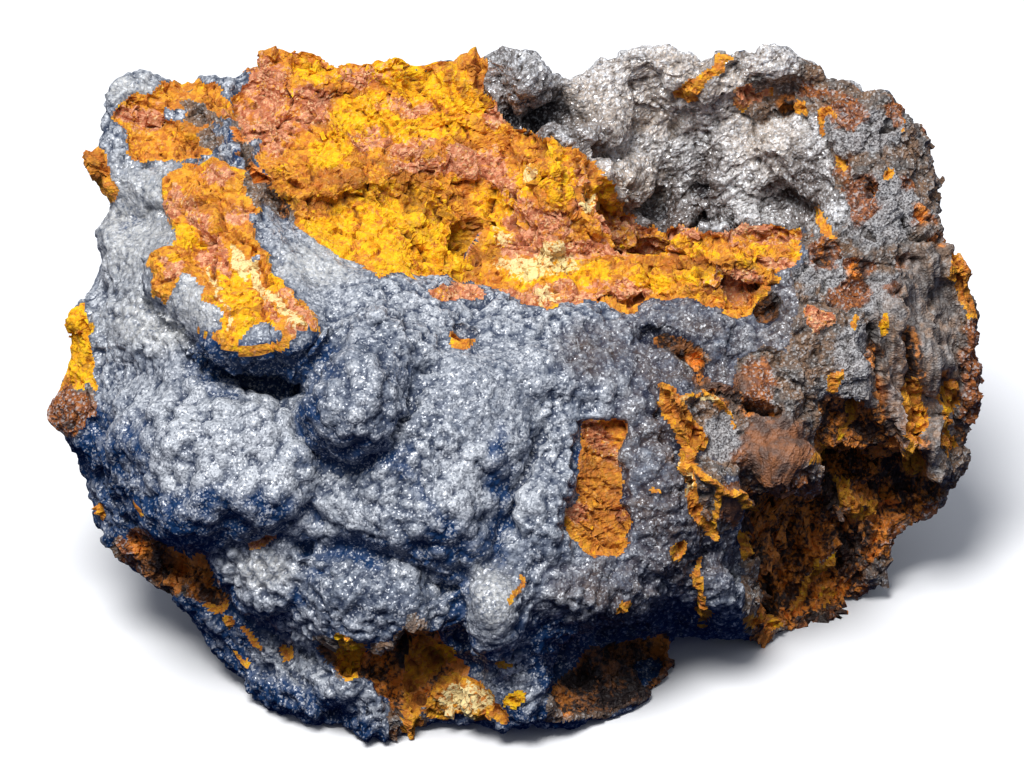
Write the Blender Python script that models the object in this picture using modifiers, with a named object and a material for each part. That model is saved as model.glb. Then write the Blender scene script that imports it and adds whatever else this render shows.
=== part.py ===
"""Pyrolusite specimen: one intergrown rock, a botryoidal crust broken open over ochre limonite and goethite.

Frame: +Z up, the rock rests on its flat base at z = 0, +X to the right and -Y towards whoever looks at its
best face. Sizes are in metres.
"""
import math

import bmesh
import bpy
import numpy as np
from mathutils import Euler, Matrix, Vector, noise

MM = 0.001

# The best face is met by a viewer who looks down on the rock from this distance and angle.
VIEW_DISTANCE = 2.0
VIEW_ANGLE = math.radians(30.0)
VIEW_CENTRE = Vector((0.0, 0.0, 27.0 * MM))

# How finely the rock is worked: first as a block, then its form, then its skin.
BLOCK_VOXEL = 1.5 * MM
FORM_VOXEL = 1.0 * MM
FINE_VOXEL = 0.8 * MM
BLOCK_EASE = 12
FORM_EASE = 2
SKIN_EASE = 0.3
TRIANGLES = 9600

# How closely the rock follows its outline and its landmarks, and how thick it is left behind its best face.
OUTLINE_STEPS = 120
FINE_OUTLINE_STEPS = 220
OUTLINE_SPARE = 1.01
PLATE_EASE = 2.0
LEAST_WALL = 9.0 * MM

# The flat that it rests on.
BASE_SNAP = 0.4 * MM
BASE_SINK = 1.5 * MM
BASE_RISE = 6.0 * MM

# The relief of its surface: broad swells on the far side, buds on the crust, facets where it is broken.
SWELL_SIZE = 14.0 * MM
SWELL_HEIGHT = 2.5 * MM
WANDER_SIZE = 5.0 * MM
WANDER = 0.7
BUD_SIZE = 4.5 * MM
BUD_HEIGHT = 0.9 * MM
FACET_SIZE = 7.0 * MM
FACET_DEPTH = 1.4 * MM
FACET_TILT = 0.3

# The outline of the best face, across and up from its centre in millimetres, clockwise from the top left.
OUTLINE = [
    (-43.0, 32.0), (-41.0, 33.5), (-36.0, 34.0), (-28.5, 33.5), (-27.5, 36.0), (-24.0, 37.0),
    (-20.5, 37.0), (-17.0, 35.5), (-12.5, 36.5), (-11.0, 35.5), (-3.5, 35.5), (-1.5, 37.0),
    (0.5, 37.0), (2.0, 36.0), (5.0, 33.5), (8.0, 34.0), (9.5, 35.5), (14.0, 37.0),
    (19.0, 36.5), (24.5, 37.0), (27.5, 37.5), (30.0, 36.5), (34.0, 33.5), (40.5, 32.0),
    (43.0, 28.5), (45.0, 26.5), (45.5, 21.5), (47.0, 15.0), (48.5, 13.0), (50.0, 6.5),
    (50.5, 2.5), (50.0, -2.0), (48.5, -6.5), (47.5, -10.0), (46.0, -12.5), (41.5, -14.5),
    (40.0, -18.5), (37.0, -22.5), (35.0, -26.5), (25.0, -27.0), (18.0, -26.5), (17.5, -27.5),
    (17.5, -30.5), (16.0, -33.0), (11.0, -35.5), (6.5, -36.5), (3.5, -37.5), (-1.5, -37.0),
    (-7.5, -36.0), (-11.5, -37.0), (-15.5, -37.5), (-18.5, -37.0), (-23.0, -36.0), (-24.0, -34.0),
    (-27.0, -32.5), (-30.5, -29.5), (-32.0, -27.0), (-39.0, -20.5), (-42.0, -17.5), (-44.5, -14.0),
    (-45.0, -9.5), (-47.0, -7.5), (-47.5, -4.5), (-50.0, -3.5), (-50.0, -1.5), (-48.5, 0.5),
    (-47.0, 4.5), (-48.0, 6.5), (-47.5, 8.5), (-46.0, 10.0), (-44.5, 12.5), (-44.0, 14.5),
    (-44.5, 17.0), (-43.0, 20.0), (-45.0, 22.5), (-46.5, 25.5), (-44.0, 26.0), (-44.0, 29.0),
]

# Landmarks of the best face: across and up in millimetres, then how far back (+Y) each lies in millimetres.
LANDMARKS = {
    "back_edge": [
        (-43.0, 32.0, 22), (-36.0, 34.0, 27), (-28.0, 35.5, 29), (-20.5, 37.0, 29), (-12.0, 36.0, 28),
        (-3.5, 35.5, 27), (0.5, 37.0, 27), (5.0, 33.5, 26), (14.0, 36.5, 28), (27.5, 37.5, 28),
        (34.0, 33.5, 26), (40.5, 32.0, 24), (45.0, 26.0, 18),
    ],
    "right_edge": [
        (47.0, 15.0, 12), (49.5, 6.5, 8), (50.5, -1.0, 6), (47.5, -10.0, 5), (41.5, -14.5, 3),
        (36.0, -22.0, -1),
    ],
    "foot_edge": [
        (34.0, -25.5, -6), (25.0, -25.5, -15.5), (16.5, -27.0, -10.5), (16.0, -30.0, -18), (13.0, -33.0, -24),
        (3.5, -37.0, -30), (-7.5, -36.0, -28), (-15.5, -37.5, -30), (-23.0, -36.0, -27.5),
    ],
    "left_edge": [
        (-27.0, -32.5, -23), (-32.0, -27.0, -18), (-39.0, -20.5, -13), (-44.5, -14.0, -8), (-45.0, -9.5, -6),
        (-50.0, -2.5, -4), (-47.0, 4.5, 2), (-47.5, 7.5, 3), (-44.5, 14.0, 8), (-43.0, 20.0, 13),
        (-46.5, 25.0, 17),
    ],
    "left_block": [
        (-37.0, 29.0, 21), (-30.0, 31.5, 25), (-29.0, 24.5, 13), (-41.0, 22.5, 13),
    ],
    "ochre_slab": [
        (-31.5, 17.5, 3), (-35.5, 10.0, -5), (-28.0, 5.0, -12), (-21.5, 6.0, -12),
    ],
    "left_belly": [
        (-28.0, 0.5, -11), (-33.5, -1.0, -14), (-33.5, -6.5, -18), (-33.5, -14.0, -19), (-41.0, -6.5, -10),
        (-39.0, -16.0, -14), (-31.5, -22.5, -20), (-25.0, -29.0, -23),
    ],
    "knob": [
        (-17.0, -1.0, -22), (-17.0, -6.5, -26), (-17.5, -10.5, -24),
    ],
    "crust_tongue": [
        (-24.0, 14.0, -2), (-15.5, 10.0, -8),
    ],
    "ochre_break": [
        (-23.0, 33.5, 25), (-23.0, 26.0, 14), (-19.5, 17.5, 3.5), (-12.0, 29.0, 19.5), (-10.0, 20.5, 10),
        (-4.5, 16.0, 6.5), (-1.5, 26.0, 17), (3.0, 14.0, 2), (7.5, 22.5, 11),
    ],
    "broken_rim": [
        (-7.5, 11.5, -2.5), (5.0, 9.0, -4), (14.0, 7.0, -5),
    ],
    "ledge": [
        (20.0, 17.0, 4), (20.0, 10.0, -3), (30.0, 16.0, 5), (30.0, 11.0, 0),
    ],
    "front_crust": [
        (-6.5, 6.5, -10), (4.0, 5.5, -9), (14.0, 3.5, -10), (-6.5, -1.0, -19), (4.0, -3.0, -18),
        (14.0, -5.5, -17), (-12.0, -14.0, -27), (-3.5, -14.0, -27), (5.0, -14.0, -25), (14.0, -16.0, -22),
        (-23.0, -18.0, -26), (-12.0, -22.5, -30), (-2.5, -23.5, -31), (7.5, -22.5, -27), (16.0, -22.5, -22),
        (-17.5, -28.0, -28), (-9.0, -31.0, -28), (2.0, -32.0, -30), (9.5, -30.0, -22),
    ],
    "corner": [
        (16.5, -1.0, -14), (20.0, -11.5, -19), (24.5, -22.5, -17),
    ],
    "right_front": [
        (20.0, 4.5, -8), (27.5, 8.5, -2), (22.5, -3.0, -12), (29.0, -1.0, -9), (29.0, -6.5, -11),
        (24.5, -16.0, -15), (36.5, 5.5, -4), (36.5, -3.0, -7),
    ],
    "recess": [
        (33.0, -9.5, -2), (36.5, -18.0, -3), (29.0, -22.5, -6), (31.0, -15.0, -4),
    ],
    "right_top": [
        (38.5, 20.5, 12), (35.5, 30.0, 21), (44.0, 18.5, 12), (41.5, 10.0, 2), (46.0, 10.0, 5),
        (41.5, -1.0, -3), (47.0, -1.0, 2), (44.0, -8.5, -1),
    ],
    "hollow": [
        (20.0, 31.5, 25), (11.5, 28.0, 23), (20.0, 22.5, 22), (14.0, 20.5, 20), (29.0, 26.0, 22),
    ],
}

# What stands out of the best face or is sunk in it, in millimetres across and up the face.
# A plate has a height, a softness of its edge and an outline. A gully or a ridge has half its width, a depth
# or a height, and a path.
# A lump or a pit has its middle, its half sizes and a height or a depth.
PLATES = {
    "ochre_slab": (2.0, 0.8, [
        (-39.0, 13.0), (-37.5, 19.0), (-37.0, 23.5), (-29.0, 24.0), (-27.0, 20.0), (-24.0, 14.0),
        (-20.5, 6.5), (-23.0, 4.5), (-32.0, 4.5), (-34.5, 7.5), (-38.0, 9.5),
    ]),
    "ochre_basin": (-1.0, 1.0, [
        (-27.0, 20.0), (-28.0, 35.5), (-3.5, 35.5), (-2.0, 30.0), (5.0, 27.0), (9.5, 22.5),
        (12.5, 17.5), (31.0, 18.0), (31.0, 14.0), (26.5, 9.0), (14.0, 8.0), (5.0, 9.5),
        (-7.5, 12.0), (-16.0, 13.0), (-19.5, 14.5), (-23.0, 19.0),
    ]),
    "hollow_mouth": (-2.0, 1.2, [
        (-2.5, 30.0), (2.0, 29.0), (6.0, 27.0), (8.5, 26.0), (10.0, 22.0), (12.5, 18.0),
        (19.0, 17.5), (31.5, 18.5), (33.5, 21.5), (36.5, 25.0), (34.5, 29.5), (30.0, 31.5),
        (20.0, 30.0), (14.0, 32.0), (8.0, 30.0), (3.5, 29.5),
    ]),
    "ochre_window": (-1.8, 0.6, [
        (7.5, -3.0), (12.5, -3.5), (12.0, -9.5), (12.5, -16.5), (7.0, -17.5), (5.5, -13.0),
        (7.0, -8.5),
    ]),
    "rust_plate": (1.5, 0.6, [(24.5, -2.5), (32.5, -2.5), (32.5, -9.5), (27.5, -10.0), (25.0, -7.5)]),
    "right_recess": (-2.5, 1.2, [
        (25.5, -25.0), (24.5, -18.0), (27.0, -11.5), (32.5, -10.0), (33.5, -4.5), (37.5, -6.0),
        (41.5, -8.5), (46.5, -11.0), (45.5, -13.5), (41.0, -16.0), (38.5, -20.5), (35.0, -24.0),
    ]),
    "foot_recess": (-1.8, 1.2, [
        (3.5, -30.0), (9.5, -27.0), (16.5, -26.0), (25.0, -25.5), (22.5, -27.0), (17.0, -28.5),
        (15.5, -32.0), (9.5, -34.5), (4.0, -36.0), (2.5, -33.0),
    ]),
    "bottom_gap": (-3.0, 0.9, [
        (-20.5, -26.5), (-17.5, -27.5), (-12.0, -28.5), (-7.5, -27.0), (-2.5, -28.0), (-1.5, -32.0),
        (-4.5, -35.0), (-9.0, -33.0), (-12.0, -35.5), (-14.0, -32.0), (-19.5, -29.5),
    ]),
}
GULLIES = {
    "round_the_knob": (1.3, 2.4, [
        (-10.5, 3.0), (-11.5, -3.0), (-13.5, -6.5), (-17.5, -9.5), (-21.0, -8.5), (-22.5, -3.5),
        (-23.0, 0.5),
    ]),
    "under_the_slab": (1.6, 3.2, [(-33.5, 3.0), (-28.5, 1.5), (-23.5, 0.5)]),
    "left_of_the_belly": (1.0, 1.5, [(-39.0, 9.0), (-37.5, 7.0), (-33.0, 4.5)]),
    "front_trough": (1.5, 1.4, [
        (-23.0, -17.0), (-17.5, -18.5), (-12.0, -19.5), (-6.5, -22.5), (-5.0, -27.0),
    ]),
    "middle_trough": (1.6, 2.0, [(3.5, -3.5), (1.0, -9.5), (-1.0, -16.0), (-3.0, -19.5), (-8.5, -21.5)]),
    "belly_foot": (1.0, 1.6, [(-27.5, -16.0), (-24.0, -16.5), (-21.0, -14.5)]),
    "lower_left": (1.7, 1.6, [
        (-45.0, -8.5), (-41.0, -14.0), (-35.5, -18.0), (-30.5, -23.0), (-25.0, -28.5),
        (-20.0, -34.0),
    ]),
    "corner_seam": (0.8, 1.2, [(15.5, 1.0), (17.0, -4.0), (19.0, -9.5), (20.0, -14.0), (22.5, -18.0)]),
    "block_crack": (0.8, 2.0, [
        (-39.0, 25.0), (-33.5, 24.5), (-29.5, 26.0), (-27.0, 22.5), (-24.5, 19.0),
    ]),
    "left_crack": (0.7, 1.2, [(-44.5, 19.0), (-37.0, 19.0)]),
    "right_crack": (0.8, 1.6, [(41.5, 16.0), (44.5, 17.5), (47.5, 17.0)]),
    "column_seams_1": (1.1, 1.6, [(39.0, 10.0), (40.0, -1.0), (40.5, -7.0)]),
    "column_seams_2": (1.1, 1.8, [(42.5, 11.0), (43.0, 1.0), (44.0, -8.5)]),
    "column_seams_3": (1.0, 1.4, [(45.5, 11.0), (46.0, 1.0), (46.5, -9.5)]),
    "column_seams_4": (1.0, 1.4, [(48.0, 11.0), (48.5, 1.0), (48.5, -7.0)]),
    "corner_inner": (1.0, 1.4, [(24.5, -4.0), (25.0, -9.5), (26.5, -14.0), (24.5, -18.0)]),
    "hollow_floor": (1.6, 2.5, [(11.0, 21.0), (13.0, 18.0), (19.0, 17.5), (26.5, 19.0), (32.0, 20.0)]),
}
RIDGES = {
    "blade_left": (1.2, 2.0, [(3.5, 26.5), (4.5, 21.5), (5.5, 16.5)]),
    "blade_middle": (1.2, 1.8, [(7.0, 26.0), (8.0, 21.0), (8.5, 16.0)]),
    "blade_right": (1.1, 1.5, [(9.5, 22.0), (11.0, 18.5), (11.0, 15.0)]),
    "ledge_crest": (1.4, 1.6, [(12.5, 16.5), (20.0, 16.5), (30.5, 17.0)]),
    "crust_rim": (0.9, 1.0, [(-1.0, 10.0), (5.0, 8.5), (14.0, 7.5), (20.0, 9.0)]),
    "corner_sliver": (0.9, 1.5, [(17.0, 0.5), (19.0, -5.0), (20.5, -8.5)]),
    "corner_branch": (0.9, 1.4, [(19.5, -7.5), (22.5, -11.0), (26.0, -11.5)]),
    "corner_spur": (0.8, 1.2, [(20.5, -10.0), (21.0, -14.0), (21.5, -17.5)]),
    "buttress_column_1": (1.2, 1.2, [(41.5, 11.5), (42.0, 1.0), (42.5, -8.0)]),
    "buttress_column_2": (1.3, 1.2, [(44.5, 11.5), (45.0, 1.0), (45.5, -9.5)]),
    "slab_lip": (1.0, 1.2, [(-32.5, 5.0), (-27.0, 4.5), (-22.5, 5.0)]),
    "basin_ridge": (1.6, 1.0, [(-18.5, 31.5), (-15.5, 25.0), (-12.0, 19.0), (-14.0, 14.0)]),
}
LUMPS = {
    "belly": ((-33.0, -6.5), (11.3, 9.9), 2.0),
    "belly_upper": ((-39.0, -3.0), (4.1, 3.9), 0.8),
    "belly_middle": ((-28.5, -3.5), (4.1, 3.7), 0.8),
    "belly_low": ((-34.5, -11.5), (4.7, 3.7), 0.9),
    "belly_right": ((-26.0, -11.0), (3.7, 3.9), 0.8),
    "knob": ((-16.5, -1.5), (6.4, 6.2), 2.8),
    "tongue_knob": ((-14.0, 7.5), (2.6, 1.9), 1.2),
    "swelling": ((-3.5, 1.0), (6.2, 4.5), 1.2),
    "bright_lump": ((-2.5, -23.0), (3.7, 4.9), 2.4),
    "front_left": ((-17.5, -21.5), (6.2, 3.7), 1.2),
    "front_middle": ((-9.5, -17.5), (4.9, 3.0), 1.0),
    "front_upper": ((-7.5, -10.5), (4.3, 3.2), 0.8),
    "brow": ((5.0, 2.0), (5.4, 3.9), 0.9),
    "right_low": ((9.5, -22.5), (6.2, 3.4), 1.4),
    "bottom_left": ((-19.0, -32.0), (4.7, 2.6), 1.2),
    "corner_low": ((22.0, -21.5), (2.8, 3.7), 1.2),
    "hollow_knob": ((0.5, 33.0), (3.2, 3.7), 3.0),
    "hollow_lump": ((9.0, 27.5), (3.0, 1.7), 2.0),
    "hollow_boss": ((12.5, 23.0), (3.7, 3.2), 2.4),
    "hollow_wall": ((22.5, 26.0), (3.9, 3.9), 1.4),
    "hollow_right": ((28.0, 25.5), (2.8, 4.7), 1.6),
    "back_brow": ((17.5, 34.0), (4.7, 2.4), 1.0),
    "back_peak": ((27.5, 35.5), (4.1, 2.6), 1.4),
    "right_brow": ((38.5, 28.5), (3.9, 2.8), 1.0),
    "right_boss": ((42.5, 20.5), (2.8, 3.2), 1.0),
    "left_knob": ((-41.5, 15.5), (2.6, 2.8), 0.9),
}
PITS = {
    "basin_pit": ((-4.5, 16.5), (1.9, 2.8), 2.4),
    "crust_pit": ((-5.0, 6.0), (1.4, 1.3), 1.5),
    "crust_gash": ((-9.5, 2.0), (1.0, 0.8), 1.2),
    "black_recess": ((27.5, 8.5), (1.7, 1.9), 2.2),
    "brown_pit_1": ((33.5, 14.5), (1.7, 1.9), 1.8),
    "brown_pit_2": ((37.5, 13.0), (1.7, 1.3), 1.6),
    "brown_pit_3": ((36.0, 10.0), (2.2, 1.4), 1.2),
    "right_hole": ((39.0, 22.5), (0.9, 0.5), 1.8),
    "hollow_pit_1": ((20.0, 21.5), (1.5, 1.1), 2.0),
    "hollow_pit_2": ((19.0, 18.0), (1.5, 1.0), 2.0),
    "slab_shadow": ((-24.5, 1.0), (1.9, 1.1), 2.2),
    "hollow_mouth": ((15.5, 6.0), (2.4, 0.9), 2.6),
    "belly_pit": ((-23.0, -16.5), (1.4, 0.9), 1.8),
    "lower_pit_1": ((-37.5, -18.5), (2.6, 1.3), 2.4),
    "lower_pit_2": ((-33.0, -21.5), (1.8, 2.2), 1.6),
    "knob_shadow": ((3.5, 30.0), (1.7, 1.5), 2.5),
}

# The skin of smooth crust on the best face. Everywhere else the rock is broken, in flat facets.
CRUST_OUTLINE = [
    (-44.5, 13.0), (-44.0, 20.5), (-43.0, 25.0), (-39.0, 24.5), (-38.0, 19.0), (-39.0, 13.0),
    (-38.0, 9.5), (-34.5, 7.5), (-32.0, 4.5), (-23.0, 4.5), (-20.5, 6.5), (-24.0, 14.0),
    (-27.0, 19.0), (-23.0, 19.0), (-19.5, 14.5), (-16.0, 13.0), (-7.5, 12.0), (5.0, 9.5),
    (14.0, 8.0), (20.0, 9.0), (19.0, 5.0), (15.5, 1.5), (17.0, -4.0), (20.0, -14.0), (25.0, -25.5),
    (9.5, -27.0), (3.5, -30.0), (-1.5, -37.0), (-12.0, -35.5), (-23.0, -34.0), (-33.5, -24.5),
    (-45.0, -11.5), (-46.5, -5.5), (-45.0, 4.5),
]

# The masses the rock is built from: centre, half sizes, turn about each axis in degrees, roundness.
MASSES = {
    "heart": ((0, 2, 26), (43, 26, 24), (16, 0, 0), 0.75),
    "front_belly": ((-8, -10, 18), (33, 19, 18), (6, 0, 0), 0.8),
    "back_wall": ((0, 18, 36), (42, 12, 17), (10, 0, 0), 0.6),
    "right_buttress": ((34, 4, 26), (16, 14, 16), (0, -8, 24), 0.7),
    "right_foot": ((22, 6, 9), (15, 13, 12), (0, 0, 10), 0.7),
    "front_foot": ((-3.5, -8, 6), (22, 18, 9), (0, 0, 0), 0.5),
}

# The hollow behind the broken ledge: centre, half sizes, lumpiness.
HOLLOW = ((22.0, 13.5, 40), (13.5, 7.5, 15), 0.15)


def clear_scene():
    for thing in list(bpy.data.objects):
        bpy.data.objects.remove(thing)


def make_collection(name):
    group = bpy.data.collections.new(name)
    bpy.context.scene.collection.children.link(group)
    return group


def mesh_points(mesh):
    points = np.empty(len(mesh.vertices) * 3)
    mesh.vertices.foreach_get("co", points)
    return points.reshape(-1, 3)


def set_points(mesh, points):
    mesh.vertices.foreach_set("co", points.astype(np.float32).ravel())
    mesh.update()


def mesh_normals(mesh):
    normals = np.empty(len(mesh.vertices) * 3)
    mesh.vertex_normals.foreach_get("vector", normals)
    return normals.reshape(-1, 3)


def apply_modifiers(thing):
    depsgraph = bpy.context.evaluated_depsgraph_get()
    baked = bpy.data.meshes.new_from_object(thing.evaluated_get(depsgraph))
    thing.modifiers.clear()
    thing.data = baked
    return baked


def rounded_mass(name, centre, half, turn, roundness, group):
    """A cube eased towards a ball: the boulder that each mass starts as."""
    shape = bmesh.new()
    bmesh.ops.create_cube(shape, size=2.0)
    bmesh.ops.subdivide_edges(shape, edges=shape.edges[:], cuts=11, use_grid_fill=True)
    for vertex in shape.verts:
        ball = vertex.co.normalized()
        vertex.co = vertex.co.lerp(ball * 1.12, roundness)
    mesh = bpy.data.meshes.new(name)
    shape.to_mesh(mesh)
    shape.free()
    turning = Euler([math.radians(angle) for angle in turn]).to_matrix().to_4x4()
    placing = Matrix.Translation(Vector(centre) * MM) @ turning @ Matrix.Diagonal((*(Vector(half) * MM), 1.0))
    mesh.transform(placing)
    thing = bpy.data.objects.new(name, mesh)
    group.objects.link(thing)
    return thing


def fused(name, things, voxel, group):
    """One closed skin round several overlapping masses."""
    shape = bmesh.new()
    for thing in things:
        shape.from_mesh(thing.data)
    mesh = bpy.data.meshes.new(name)
    shape.to_mesh(mesh)
    shape.free()
    for thing in things:
        bpy.data.objects.remove(thing)
    whole = bpy.data.objects.new(name, mesh)
    group.objects.link(whole)
    skin(whole, voxel)
    return whole


def skin(thing, voxel):
    remesh = thing.modifiers.new("Skin", "REMESH")
    remesh.mode = "VOXEL"
    remesh.voxel_size = voxel
    apply_modifiers(thing)


def eased(thing, rounds, factor=0.5):
    ease = thing.modifiers.new("Ease", "SMOOTH")
    ease.factor = factor
    ease.iterations = rounds
    apply_modifiers(thing)


# Directions of the best face, and where the viewer's eye is
TOWARDS_VIEWER = Vector((0.0, -math.cos(VIEW_ANGLE), math.sin(VIEW_ANGLE)))
UP_THE_FACE = Vector((0.0, math.sin(VIEW_ANGLE), math.cos(VIEW_ANGLE)))


def on_the_face(points):
    """Where points show on the best face, across and up in millimetres, and how near they are."""
    offset = points - np.array(VIEW_CENTRE)
    near = offset @ np.array(TOWARDS_VIEWER)
    spread = VIEW_DISTANCE / (VIEW_DISTANCE - near)
    across = offset[:, 0] * spread / MM
    up = (offset @ np.array(UP_THE_FACE)) * spread / MM
    return across, up, near


def outline_reach(angles):
    """How far the outline lies from the middle of the face in each direction."""
    corners = np.array(OUTLINE)
    edges = np.roll(corners, -1, axis=0) - corners
    ray = np.stack([np.cos(angles), np.sin(angles)], axis=1)
    cross = np.outer(ray[:, 0], edges[:, 1]) - np.outer(ray[:, 1], edges[:, 0])
    along = (corners[:, 0] * edges[:, 1] - corners[:, 1] * edges[:, 0]) / cross
    share = (ray[:, 1:] * corners[:, 0] - ray[:, :1] * corners[:, 1]) / cross
    return np.where((share >= 0) & (share <= 1), along, 0).max(axis=1)


def fit_outline(thing, steps):
    """Swell or draw in the rock about the line of sight until its outline is OUTLINE."""
    points = mesh_points(thing.data)
    across, up, near = on_the_face(points)
    reach = np.hypot(across, up)
    angle = np.arctan2(up, across)
    step = 2 * math.pi / steps
    slot = ((angle + math.pi) / step).astype(int) % steps
    hull = np.zeros(steps)
    np.maximum.at(hull, slot, reach)
    ring = np.concatenate([hull[-1:], hull, hull[:1]])
    middles = -math.pi + (np.arange(-1, steps + 1) + 0.5) * step
    here = np.interp(angle, middles, ring)
    fine = np.linspace(-math.pi, math.pi, 721)
    wanted = np.interp(angle, fine, outline_reach(fine + 1e-6)) * OUTLINE_SPARE
    share = np.clip(reach / here, 0, 1) ** 3
    shift = ((wanted / here - 1) * share)[:, None]
    sideways = np.outer(across, (1, 0, 0)) + np.outer(up, UP_THE_FACE)
    set_points(thing.data, points + sideways * MM * shift)


def landmark_depths():
    """A thin plate bent through the landmarks: how near the viewer the face is at any place on it."""
    marks = np.array([mark for group in LANDMARKS.values() for mark in group])
    across, up, back = marks.T
    centre_height = VIEW_CENTRE.z / MM
    height = centre_height + (up - back * UP_THE_FACE.y) / UP_THE_FACE.z
    near = (height - centre_height) * TOWARDS_VIEWER.z + back * TOWARDS_VIEWER.y

    def bend(gap):
        return gap ** 2 * np.log(gap + 1e-9)

    count = len(marks)
    places = np.stack([across, up], axis=1)
    gaps = np.linalg.norm(places[:, None] - places[None], axis=2)
    flat = np.column_stack([np.ones(count), places])
    system = np.zeros((count + 3, count + 3))
    system[:count, :count] = bend(gaps) + np.eye(count) * PLATE_EASE
    system[:count, count:] = flat
    system[count:, :count] = flat.T
    weights = np.linalg.solve(system, np.concatenate([near, np.zeros(3)]))

    def depth_at(across, up):
        spots = np.stack([across, up], axis=1)
        gap = np.linalg.norm(spots[:, None] - places[None], axis=2)
        return bend(gap) @ weights[:count] + weights[count] + spots @ weights[count + 1:]

    return depth_at


def ramp(value, start, end):
    share = np.clip((value - start) / (end - start), 0, 1)
    return share * share * (3 - 2 * share)


def shape_face(thing):
    """Bring the seen side of the rock to its landmarks, and keep the far side behind them."""
    points = mesh_points(thing.data)
    facing = mesh_normals(thing.data) @ np.array(TOWARDS_VIEWER)
    across, up, near = on_the_face(points)
    wanted = landmark_depths()(across, up) * MM
    seen = ramp(facing, -0.35, 0.15)
    inset = np.clip(signed_distance(across, up, OUTLINE), 0, None)
    behind = np.minimum(near, wanted - LEAST_WALL * ramp(inset, 0.0, 8.0))
    moved = wanted * seen + behind * (1 - seen)
    set_points(thing.data, points + np.outer(moved - near, TOWARDS_VIEWER))


def path_distance(across, up, path, closed=False):
    """How far each place on the face lies from a path."""
    corners = np.array(path, dtype=float)
    ends = np.roll(corners, -1, axis=0) if closed else corners[1:]
    starts = corners if closed else corners[:-1]
    nearest = np.full(len(across), 1e9)
    for start, end in zip(starts, ends):
        run = end - start
        along = ((across - start[0]) * run[0] + (up - start[1]) * run[1]) / (run @ run)
        along = np.clip(along, 0, 1)
        gap = np.hypot(across - start[0] - along * run[0], up - start[1] - along * run[1])
        nearest = np.minimum(nearest, gap)
    return nearest


def signed_distance(across, up, outline):
    """The distance to an outline, above zero inside it."""
    within = np.zeros(len(across), dtype=bool)
    corners = np.array(outline)
    for (x_a, y_a), (x_b, y_b) in zip(corners, np.roll(corners, -1, axis=0)):
        if y_a == y_b:
            continue
        crosses = (y_a > up) != (y_b > up)
        within ^= crosses & (across < (x_b - x_a) * (up - y_a) / (y_b - y_a) + x_a)
    gap = path_distance(across, up, outline, closed=True)
    return np.where(within, gap, -gap)


def dome(across, up, middle, half):
    """One at the middle of an oval, falling round to nothing at its edge."""
    spread = ((across - middle[0]) / half[0]) ** 2 + ((up - middle[1]) / half[1]) ** 2
    return np.clip(1 - spread, 0, 1) ** 1.5 + 0.25 * np.exp(-spread * 2)


def waver(points, size, seed):
    """Smooth noise from -1 to 1 with a given size."""
    offset = Vector((seed * 3.1, seed * 7.7, seed * 1.3))
    return np.array([noise.noise(Vector(point) / size + offset) for point in points])


def carve_face(thing):
    """Raise the plates and lumps of the best face and sink its gullies and pits."""
    points = mesh_points(thing.data)
    normals = mesh_normals(thing.data)
    across, up, _ = on_the_face(points)
    across_bent = across + waver(points, WANDER_SIZE, 1) * WANDER
    up_bent = up + waver(points, WANDER_SIZE, 2) * WANDER
    lift = np.zeros(len(points))
    for height, edge, outline in PLATES.values():
        lift += height * ramp(signed_distance(across_bent, up_bent, outline), -edge, edge)
    for middle, half, height in LUMPS.values():
        lift += height * dome(across, up, middle, half)
    for middle, half, depth in PITS.values():
        lift -= depth * dome(across, up, middle, half) * 1.3
    for half_width, depth, path in GULLIES.values():
        lift -= depth * np.exp(-(path_distance(across_bent, up_bent, path) / half_width) ** 2)
    for half_width, height, path in RIDGES.values():
        lift += height * np.exp(-(path_distance(across_bent, up_bent, path) / half_width) ** 2)
    towards = np.array(TOWARDS_VIEWER)
    seen = ramp(normals @ towards, -0.1, 0.3)
    heading = normals + 0.7 * towards
    heading /= np.linalg.norm(heading, axis=1)[:, None]
    set_points(thing.data, points + heading * (lift * seen * MM)[:, None])


def rough_ball(name, centre, half, bumps, group):
    """A lumpy ball, the space that a hollow takes out of the rock."""
    shape = bmesh.new()
    bmesh.ops.create_icosphere(shape, subdivisions=5, radius=1.0)
    for vertex in shape.verts:
        bump = noise.noise(vertex.co * 2.3 + Vector((4.0, 1.0, 2.0)))
        vertex.co *= 1 + bumps * bump
    mesh = bpy.data.meshes.new(name)
    shape.to_mesh(mesh)
    shape.free()
    mesh.transform(Matrix.Translation(Vector(centre) * MM) @ Matrix.Diagonal((*(Vector(half) * MM), 1.0)))
    thing = bpy.data.objects.new(name, mesh)
    thing.hide_render = True
    thing.display_type = "WIRE"
    group.objects.link(thing)
    return thing


def cut(thing, cutter):
    taking = thing.modifiers.new("Cut", "BOOLEAN")
    taking.operation = "DIFFERENCE"
    taking.solver = "EXACT"
    taking.object = cutter
    apply_modifiers(thing)


def scattered(points, size, chance):
    """One point picked by chance in each cell of a grid, so that the picks lie about evenly."""
    picks = {}
    for index in chance.permutation(len(points)):
        picks.setdefault(tuple(np.floor(points[index] / size).astype(int)), index)
    return list(picks.values())


def crust_share(points, normals):
    """One on the smooth crust of the best face, falling to nothing where the rock is broken."""
    across, up, _ = on_the_face(points)
    seen = ramp(normals @ np.array(TOWARDS_VIEWER), 0.0, 0.3)
    return ramp(signed_distance(across, up, CRUST_OUTLINE), -1.5, 0.5) * seen


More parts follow.
